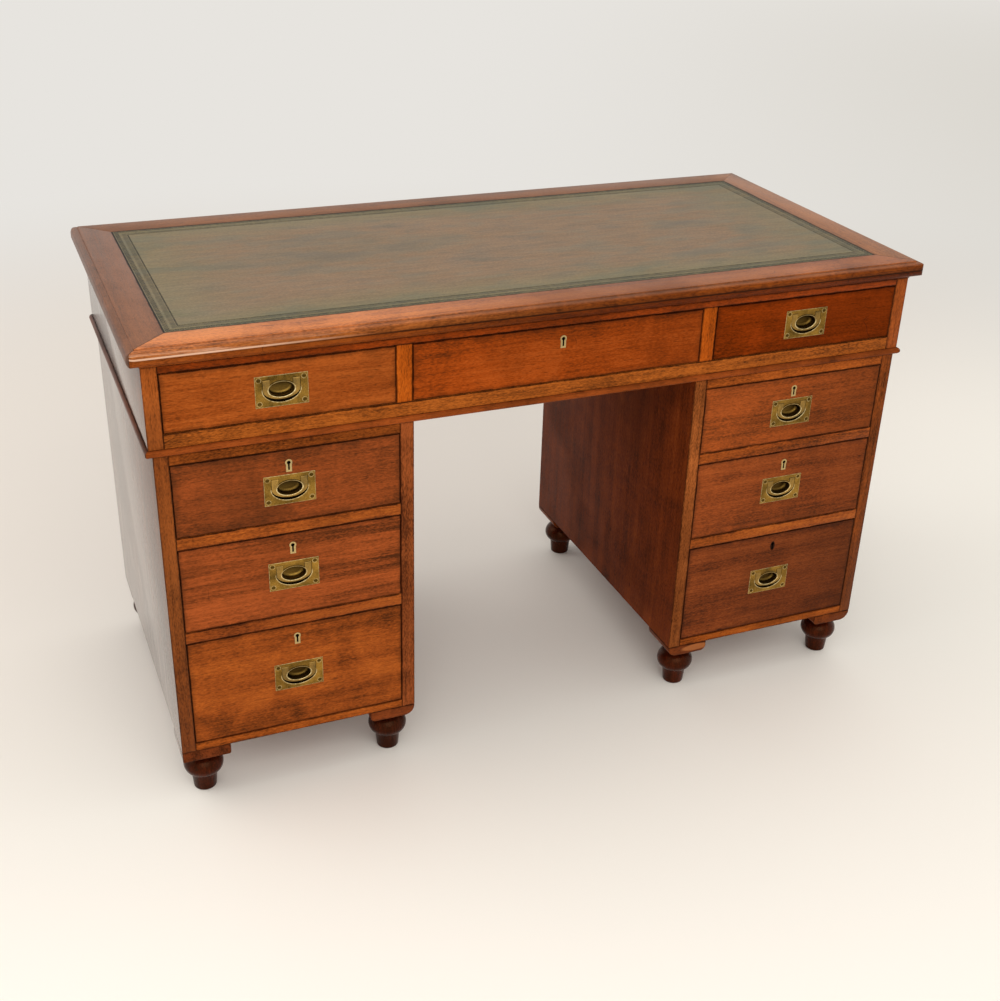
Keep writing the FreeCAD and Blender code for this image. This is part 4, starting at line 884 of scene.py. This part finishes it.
def brassMaterial(name, face, plate=None, ring=False):
    # Tarnish gathers below the face of a fitting, and painted highlights lie along the lower rim of the cup,
    # the lip of the recess, the plate's edges and the screw collars.
    # A plate is the box of the handle plate that the fitting belongs to.
    s = Shader(bpy.data.materials.new(name))
    looks = brassLooks
    place = s.objectPlace()
    dice = random.Random(name)
    x, y, z = s.split(place)[:3]
    cloud = s.noise(s.stretch(place, looks["cloudScale"], (dice.uniform(0, 9), 0, 0)), 1, 3, 0.55)
    fine = s.noise(s.stretch(place, looks["fineScale"]), 1, 2, 0.6)
    tone = s.maths("MULTIPLY_ADD", s.centred(fine), looks["fineShare"], cloud)
    colour = s.ramp(tone, list(zip(looks["tonePlaces"], (looks["dark"], looks["middle"], looks["light"]))))
    depth = s.maths("SUBTRACT", y, face)
    dark = s.band(depth, *looks["tarnishDepth"])
    if plate:
        low, high = plate
        centre, half = (low + high) / 2, (high - low) / 2
        u, v = s.maths("SUBTRACT", x, centre.x), s.maths("SUBTRACT", z, centre.z)
        level = s.maths("SUBTRACT", v, looks["ovalRise"])
        fromX, fromZ = s.maths("ABSOLUTE", u), s.maths("ABSOLUTE", v)

        def ellipse(halfSizes):
            across, up = s.maths("DIVIDE", u, halfSizes[0]), s.maths("DIVIDE", level, halfSizes[1])
            return s.vectors("LENGTH", s.join(across, up, 0.0))

        oval = ellipse(looks["ovalHalf"])
        # painted highlights: the lower rim of the cup, the lower lip of the recess, the plate's edges and the
        # collars round the screws
        rim = s.times(s.plateau(oval, looks["rimLine"]), s.band(level, *looks["rimLit"]))
        recess = ellipse(looks["recessHalf"])
        lip = s.times(s.plateau(recess, looks["lipLine"]), s.band(level, *looks["lipLit"]))
        outside, inside = looks["edgeWidth"]
        edge = s.most(s.band(fromX, half.x - outside, half.x - inside),
                      s.band(fromZ, half.z - outside, half.z - inside))
        atX, atZ = looks["screwsAt"]
        toScrew = s.join(s.maths("SUBTRACT", fromX, atX), s.maths("SUBTRACT", fromZ, atZ), 0.0)
        toScrew = s.vectors("LENGTH", toScrew)
        radius = looks["screwRadius"]
        head = s.band(toScrew, *[radius + step for step in looks["headEdge"]], 1, 0)
        collar = s.plateau(toScrew, [radius + step for step in looks["collarEdge"]])
        bright = s.most(rim, s.times(lip, looks["lipStrength"]), s.times(edge, looks["edgeStrength"]),
                        s.times(collar, looks["collarStrength"]))
        colour = s.mix(s.times(head, looks["headDark"]), colour, looks["dark"])
        # painted shade at the top inside the cup and painted light towards its bottom
        cup = s.times(s.band(oval, *looks["cupEdge"]), s.band(depth, *looks["cupDepth"]))
        lit = dice.uniform(*looks["cupLevels"])
        glow = s.times(s.band(level, *looks["cupLit"]),
                       s.band(tone, *looks["glowSpan"], looks["glowLeast"] * lit, lit))
        colour = s.mix(cup, colour, s.mix(glow, looks["deep"], looks["cup"]))
        dark = s.times(dark, s.maths("SUBTRACT", 1.0, cup))
    if ring:
        colour = s.mix(looks["ringRubbed"], colour, looks["rubbed"])
    if not plate:
        colour = s.mix(looks["lockRubbed"], colour, looks["rubbed"])
    colour = s.mix(s.times(dark, looks["tarnish"]), colour, looks["deep"])
    if plate:
        # the painted highlights lie on the raised face, broken by scuffs
        raised = s.band(depth, *looks["raisedDepth"])
        scuffed = s.band(s.noise(s.stretch(place, looks["scuffScale"]), 1, 2), *looks["scuffSpan"])
        colour = s.mix(s.times(bright, raised, scuffed), colour, looks["rubbed"])
    rough = s.held(s.weighted(looks["rough"], looks["roughLayers"], cloud=cloud, dark=dark))
    normal = s.bump(tone, looks["bumpStrength"], looks["bumpDepth"])
    return s.finish(colour, rough, normal, Metallic=1.0)


def dressWood():
    made = {name: woodMaterial(name + "Wood", looks) for name, looks in caseLooks.items()}
    at = boardPlaces

    def only(name):
        return lambda centre, half: made[name]

    def casePanel(centre, half):
        if half[0] > at["thinHalf"]:
            return made["panels"]
        side = "left" if centre[0] < 0 else "right"
        return made[side + ("Outer" if abs(centre[0]) > at["outerSide"] else "Inner")]

    def topPanel(centre, half):
        if half[0] < at["thinHalf"] and abs(centre[0]) < at["partitionWithin"]:
            return made["partitions"]
        return casePanel(centre, half)

    def topRail(centre, half):
        if centre[1] > at["front"]:
            return made["rails"]
        return made["upperRail" if centre[2] > at["upperRail"] else "lowerRail"]

    def beadLength(centre, half):
        return made["bead" if half[0] > half[1] else "beadSides"]

    def borderBoard(centre, half):
        return made["borderFront" if centre[1] < at["front"] else "borderSides"]

    def footBlock(centre, half):
        return made["outerBlocks" if centre[0] < at["leftBlock"] else "blocks"]

    # node, piece, how each board's wood is chosen, slot, arris, tones, upright grain
    copies = []
    for case in ("left_pedestal", "right_pedestal"):
        copies += [
            (f"{case}_panels", f"{case}_boards", casePanel, "case_wood", "case", "panels", True),
            (f"{case}_rails", f"{case}_dividers", only("rails"), "case_wood", "case", "rails", False),
        ]
    copies += [
        ("top_case_panels", "top_case_boards", topPanel, "case_wood", "case", "panels", True),
        ("top_case_rails", "top_case_dividers", topRail, "case_wood", "case", "rails", False),
        ("waist_moulding", "waist_bead", beadLength, "case_wood", "bead", "border", False),
        ("top_panel", "top_ground", only("ground"), "top_wood", "case", "lining", False),
        ("top_border", "top_moulded_border", borderBoard, "top_wood", "border", "border", False),
        ("foot_blocks", "feet_blocks", footBlock, "foot_wood", "blocks", "feet", False),
        ("turned_feet", "feet_turned", only("feet"), "foot_wood", "feet", "feet", False),
    ]
    for node, piece, choose, slot, arris, tones, upright in copies:
        woodCopy(node, piece, choose, arrises[arris], boardTones[tones], upright)
    for name, looks in drawerFronts.items():
        front = f"{name}_drawer_front"
        dress(front, woodMaterial(f"{name}Front", looks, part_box(front)))
        woodCopy(f"{name}_drawer_box", f"{name}_drawer_carcase", only("lining"),
                 arrises["lining"], boardTones["lining"])
    print("wood done")


def dressBrass():
    for name in nodes:
        if name.endswith(("_handle_plate", "_handle_ring")):
            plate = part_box(name.rsplit("_", 1)[0] + "_plate")
            dress(name, brassMaterial(f"{name}Brass", plate[0].y, plate, name.endswith("_ring")))
        elif name.endswith(("_lock", "_lock_bolt")):
            dress(name, brassMaterial(f"{name}Brass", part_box(name)[0].y))
    print("brass done")


studio = {
    "floorReach": 14.0,
    "nearColour": hexColour("fcf7ee"),
    "backColour": hexColour("e6ded5"),
    "farColour": hexColour("e7e4df"),
    "farRightColour": hexColour("d9d5cd"),
    "airColour": (1.0, 0.985, 0.96, 1),
    "worldLevel": 0.74,
    "lampColour": (1.0, 0.98, 0.95),
    "floorRough": 0.55,
    "floorGloss": 0.25,
    # metres over which one floor colour fades into the next
    "farFade": (1.5, 3.4),
    "backFade": (-0.5, 1.1),
    "backSlant": -0.45,
    "rightFade": (-1.0, 4.0),
    "rightSlant": -0.5,
    "rightEnd": (5.0, 13.5),
    "lamps": {
        "overhead": {"place": (-0.3, 0.2, 4.2), "aim": (0, 0, 0), "size": 4.0, "power": 16},
        "front": {"place": (-0.6, -3.2, 2.4), "aim": (0.0, -0.2, 0.2), "size": 3.0, "power": 52},
        "left": {"place": (-3.0, 1.0, 2.6), "aim": (-0.3, 0.3, 0.1), "size": 3.0, "power": 36},
    },
}

cameraView = {
    "place": (-0.8259, -2.0034, 1.4287),
    "turn": -0.402061,
    "tilt": 1.086457,
    "roll": 0.030771,
    "lens": 49.07,
    "sensor": 36,
}


def seenDirectly(s):
    # 1 where the eye, a mirror or glass shows the backdrop, and 0 for the light that it gives
    rays = s.put("ShaderNodeLightPath").outputs
    return s.most(rays["Is Camera Ray"], rays["Is Glossy Ray"], rays["Is Transmission Ray"])


def makeFloor():
    reach = studio["floorReach"]
    bpy.ops.mesh.primitive_circle_add(vertices=64, radius=reach, fill_type="NGON", location=(0, 0, 0))
    floor = bpy.context.active_object
    floor.name = "studio_floor"
    s = Shader(bpy.data.materials.new("floorPaint"))
    place = s.objectPlace()
    distance = s.vectors("LENGTH", place)
    x, y = s.split(place)[:2]
    # painted shade: the floor is painted darker towards the back, behind the desk
    back = s.band(s.maths("MULTIPLY_ADD", x, studio["backSlant"], y), *studio["backFade"])
    paint = s.mix(back, studio["nearColour"], studio["backColour"])
    near = s.put("ShaderNodeBsdfPrincipled", {"Base Color": paint, "Roughness": studio["floorRough"],
                                              "Specular IOR Level": studio["floorGloss"]})
    # painted shade: the far backdrop is darker towards the right
    right = s.band(s.maths("MULTIPLY_ADD", y, studio["rightSlant"], x), *studio["rightFade"])
    right = s.times(right, s.band(distance, *studio["rightEnd"], 1, 0))
    wall = s.mix(right, studio["farColour"], studio["farRightColour"])
    glow = s.put("ShaderNodeEmission", {"Color": wall, "Strength": 1.0})
    far = s.band(distance, *studio["farFade"])
    blend = s.put("ShaderNodeMixShader", {0: s.times(far, seenDirectly(s)), 1: near.outputs[0],
                                          2: glow.outputs[0]})
    s.put("ShaderNodeOutputMaterial", {0: blend.outputs[0]})
    floor.data.materials.append(s.owner)


def makeWorld():
    world = bpy.data.worlds.new("studioAir")
    bpy.context.scene.world = world
    s = Shader(world)
    light = s.put("ShaderNodeBackground", {"Color": studio["airColour"], "Strength": studio["worldLevel"]})
    wall = s.put("ShaderNodeBackground", {"Color": studio["farColour"], "Strength": 1.0})
    blend = s.put("ShaderNodeMixShader", {0: seenDirectly(s), 1: light.outputs[0], 2: wall.outputs[0]})
    s.put("ShaderNodeOutputWorld", {0: blend.outputs[0]})


def makeLamps():
    for name, look in studio["lamps"].items():
        bpy.ops.object.light_add(type="AREA", location=look["place"])
        lamp = bpy.context.active_object
        lamp.name = name + "_softbox"
        lamp.data.size = look["size"]
        lamp.data.energy = look["power"]
        lamp.data.color = studio["lampColour"]
        lamp.visible_camera = False
        way = Vector(look["aim"]) - Vector(look["place"])
        lamp.rotation_euler = way.to_track_quat("-Z", "Y").to_euler()


def makeCamera():
    bpy.ops.object.camera_add(location=cameraView["place"])
    camera = bpy.context.active_object
    camera.data.sensor_width = cameraView["sensor"]
    camera.data.sensor_fit = "HORIZONTAL"
    camera.data.lens = cameraView["lens"]
    turn = Matrix.Rotation(cameraView["turn"], 3, "Z")
    tilt = Matrix.Rotation(cameraView["tilt"], 3, "X")
    roll = Matrix.Rotation(cameraView["roll"], 3, "Z")
    camera.rotation_euler = (turn @ tilt @ roll).to_euler()
    bpy.context.scene.camera = camera


makeCamera()
makeWorld()
makeLamps()
makeFloor()
print("studio done")
dressWood()
makeLeather()
dressBrass()
bpy.context.scene.view_settings.view_transform = "Standard"
